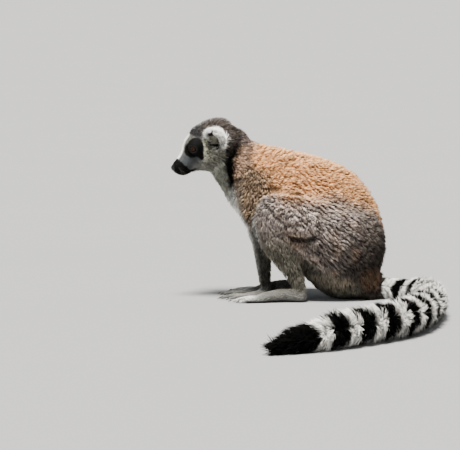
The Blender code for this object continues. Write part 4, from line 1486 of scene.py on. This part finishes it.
class Growth(Graph):
    """A Geometry Nodes tree under construction, with named inputs, that sets copies of a piece on points."""

    def __init__(self, name):
        super().__init__(bpy.data.node_groups.new(name, "GeometryNodeTree"))
        self.sockets = self.tree.interface
        for way in ("INPUT", "OUTPUT"):
            self.sockets.new_socket("Geometry", in_out=way, socket_type="NodeSocketGeometry")
        self.start = self.tree.nodes.new("NodeGroupInput")
        self.identifiers = {}

    def size(self, name):
        """A named input."""
        item = self.sockets.new_socket(name, in_out="INPUT", socket_type="NodeSocketFloat")
        self.identifiers[name] = item.identifier
        return Shade(self, self.start.outputs[name])

    def set_out(self, piece, lean, scaled=False):
        """The piece on every point, along the point's way and with its bow turned towards lean.  scaled makes
        it as long as the way."""
        way = self.make("GeometryNodeInputNamedAttribute", {"data_type": "FLOAT_VECTOR"}, {"Name": "way"})
        turn = self.make("FunctionNodeAlignRotationToVector", {"axis": "Z", "pivot_axis": "AUTO"},
                         {"Vector": way})
        turn = self.make("FunctionNodeAlignRotationToVector", {"axis": "X", "pivot_axis": "Z"},
                         {"Rotation": turn, "Vector": lean})
        placed = {"Points": Shade(self, self.start.outputs["Geometry"]), "Instance": piece, "Rotation": turn}
        if scaled:
            placed["Scale"] = self.make("ShaderNodeVectorMath", {"operation": "LENGTH"}, {0: way}, "Value")
        copies = self.make("GeometryNodeInstanceOnPoints", {}, placed)
        return self.make("GeometryNodeRealizeInstances", {}, {"Geometry": copies})

    def finish(self, geometry, material):
        dressed = self.make("GeometryNodeSetMaterial", {}, {"Geometry": geometry, "Material": material})
        self.tree.links.new(dressed.socket, self.tree.nodes.new("NodeGroupOutput").inputs["Geometry"])


def grown(name, points, ways, growth, **sizes):
    """A plain mesh of what a tree sets on points that carry a way each."""
    mesh = bpy.data.meshes.new(name)
    mesh.from_pydata([Vector(point) * MM for point in points], [], [])
    store(mesh, "way", "FLOAT_VECTOR", "vector", ways)
    obj = linked(name, mesh)
    modifier = obj.modifiers.new("grow", "NODES")
    modifier.node_group = growth.tree
    for size, value in sizes.items():
        modifier[growth.identifiers[size]] = value
    worked_in(obj)
    obj.data.shade_smooth()
    return obj


nail_finish = Finish("horn", Roughness=0.35, Coat_Weight=0.3, Coat_Roughness=0.2)
nail_tone = nail_finish.noise(700, 3)
nail_finish.put("Base Color", nail_finish.mixed(nail_tone, *HORN_TONES))
nail_finish.put("Roughness", 0.28 + nail_tone * 0.25)
nail_finish.bump(nail_finish.noise(1600, 2), 0.4, 0.0002)

nail_tree = Growth("nails")
nail_length, nail_width, nail_height = (nail_tree.size(name) for name in ("Length", "Width", "Height"))
nail_cone = nail_tree.make("GeometryNodeMeshCone", {"fill_type": "TRIANGLE_FAN"},
                           {"Vertices": 14, "Side Segments": 5, "Radius Top": 0.12, "Radius Bottom": 0.5,
                            "Depth": 1.0})
nail_scale = nail_tree.make("ShaderNodeCombineXYZ", {}, {"X": nail_height, "Y": nail_width, "Z": nail_length})
nail_shape = nail_tree.make("GeometryNodeTransform", {}, {"Geometry": nail_cone, "Scale": nail_scale})
nail_place = nail_tree.make("GeometryNodeInputPosition")
nail_along = nail_tree.make("ShaderNodeSeparateXYZ", {}, {"Vector": nail_place}, "Z")
nail_offset = nail_tree.make("ShaderNodeCombineXYZ", {}, {"X": nail_along * nail_along * NAIL_BOW})
nail_bent = nail_tree.make("GeometryNodeSetPosition", {}, {"Geometry": nail_shape, "Offset": nail_offset})
nail_tree.finish(nail_tree.set_out(nail_bent, (0.0, 0.0, -1.0)), nail_finish.material)

nail_points, nail_ways = [], []
for mirror in (1, -1):
    for x, y, length, bearing, radius in TOES + FINGERS:
        turn = math.radians(bearing)
        way = Vector((-math.cos(turn), math.sin(turn) * mirror, NAIL_DROP)).normalized()
        tip = Vector((x, y * mirror, radius + 0.2)) + Vector((way.x, way.y, 0)) * (length + 0.6)
        nail_points.append(tip)
        nail_ways.append(way)
nails = grown("nails", nail_points, nail_ways, nail_tree,
              Length=NAIL_LENGTH * MM, Width=NAIL_WIDTH * MM, Height=NAIL_HEIGHT * MM)
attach(nails, "root")


# ----------------------------------------------------------------------------------------------------
# The whiskers: stiff black hairs rooted in the lips, over the eyes and on the cheeks, thinning to a point and
# bowing back and down.  One tree sweeps each along a bowed curve.
WHISKER_RADIUS = 0.11
WHISKER_SAG = 0.16            # as a share of its length
BRISTLE_TONES = (0.008, 0.007, 0.006, 1), (0.04, 0.035, 0.03, 1)
# Roots on the left side of the head (forward, left, up), how many, their spread and their length.
WHISKER_ROOTS = [((19, 6.5, -27), 9, 4.5, 24), ((4, 15, 12), 3, 2.2, 11), ((-14, 27, -14), 3, 2.5, 18)]
WHISKER_WAYS = [(-0.25, 0.95, -0.25), (0.25, 0.55, 0.80), (-0.75, 0.55, -0.35)]

whisker_finish = Finish("bristle", Roughness=0.4, Specular_IOR_Level=0.08)
bristle_tone = whisker_finish.noise(300, 2)
whisker_finish.put("Base Color", whisker_finish.mixed(bristle_tone, *BRISTLE_TONES))
whisker_finish.put("Roughness", 0.34 + bristle_tone * 0.2)

whisker_tree = Growth("whiskers")
whisker_radius, whisker_sag = (whisker_tree.size(name) for name in ("Radius", "Sag"))
whisker_line = whisker_tree.make("GeometryNodeCurvePrimitiveLine", {}, {"End": (0.0, 0.0, 1.0)})
whisker_steps = whisker_tree.make("GeometryNodeResampleCurve", {}, {"Curve": whisker_line, "Count": 9})
whisker_share = whisker_tree.make("GeometryNodeSplineParameter")
whisker_drop = whisker_share * whisker_share * whisker_sag
whisker_shift = whisker_tree.make("ShaderNodeCombineXYZ", {}, {"X": whisker_drop})
whisker_bowed = whisker_tree.make("GeometryNodeSetPosition", {},
                                  {"Geometry": whisker_steps, "Offset": whisker_shift})
whisker_curves = whisker_tree.set_out(whisker_bowed, (0.4, 0.0, -1.0), scaled=True)
whisker_round = whisker_tree.make("GeometryNodeCurvePrimitiveCircle", {}, {"Resolution": 5, "Radius": 1.0})
whisker_thick = (1.06 - whisker_tree.make("GeometryNodeSplineParameter")) * whisker_radius
whisker_tube = whisker_tree.make("GeometryNodeCurveToMesh", {},
                                 {"Curve": whisker_curves, "Profile Curve": whisker_round,
                                  "Scale": whisker_thick, "Fill Caps": True})
whisker_tube = whisker_tree.make("GeometryNodeRealizeInstances", {}, {"Geometry": whisker_tube})
whisker_tree.finish(whisker_tube, whisker_finish.material)

hide_finder = finder(skin_places)
whisker_chance = np.random.default_rng(31)
whisker_points, whisker_ways = [], []
for sign in (1, -1):
    for (root, count, spread, length), way in zip(WHISKER_ROOTS, WHISKER_WAYS):
        for _ in range(count):
            off = whisker_chance.standard_normal(3) * spread * 0.45
            near = on_head(root[0] + off[0], (root[1] + off[1]) * sign, root[2] + off[2])
            lean = np.array((way[0], way[1] * sign, way[2])) + whisker_chance.standard_normal(3) * 0.13
            whisker_points.append(Vector(skin_places[hide_finder.find(near)[1]]))
            whisker_ways.append(head_way(*lean) * (length * float(0.75 + 0.5 * whisker_chance.random()) * MM))
whiskers = grown("whiskers", whisker_points, whisker_ways, whisker_tree,
                 Radius=WHISKER_RADIUS * MM, Sag=WHISKER_SAG)
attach(whiskers, "root")
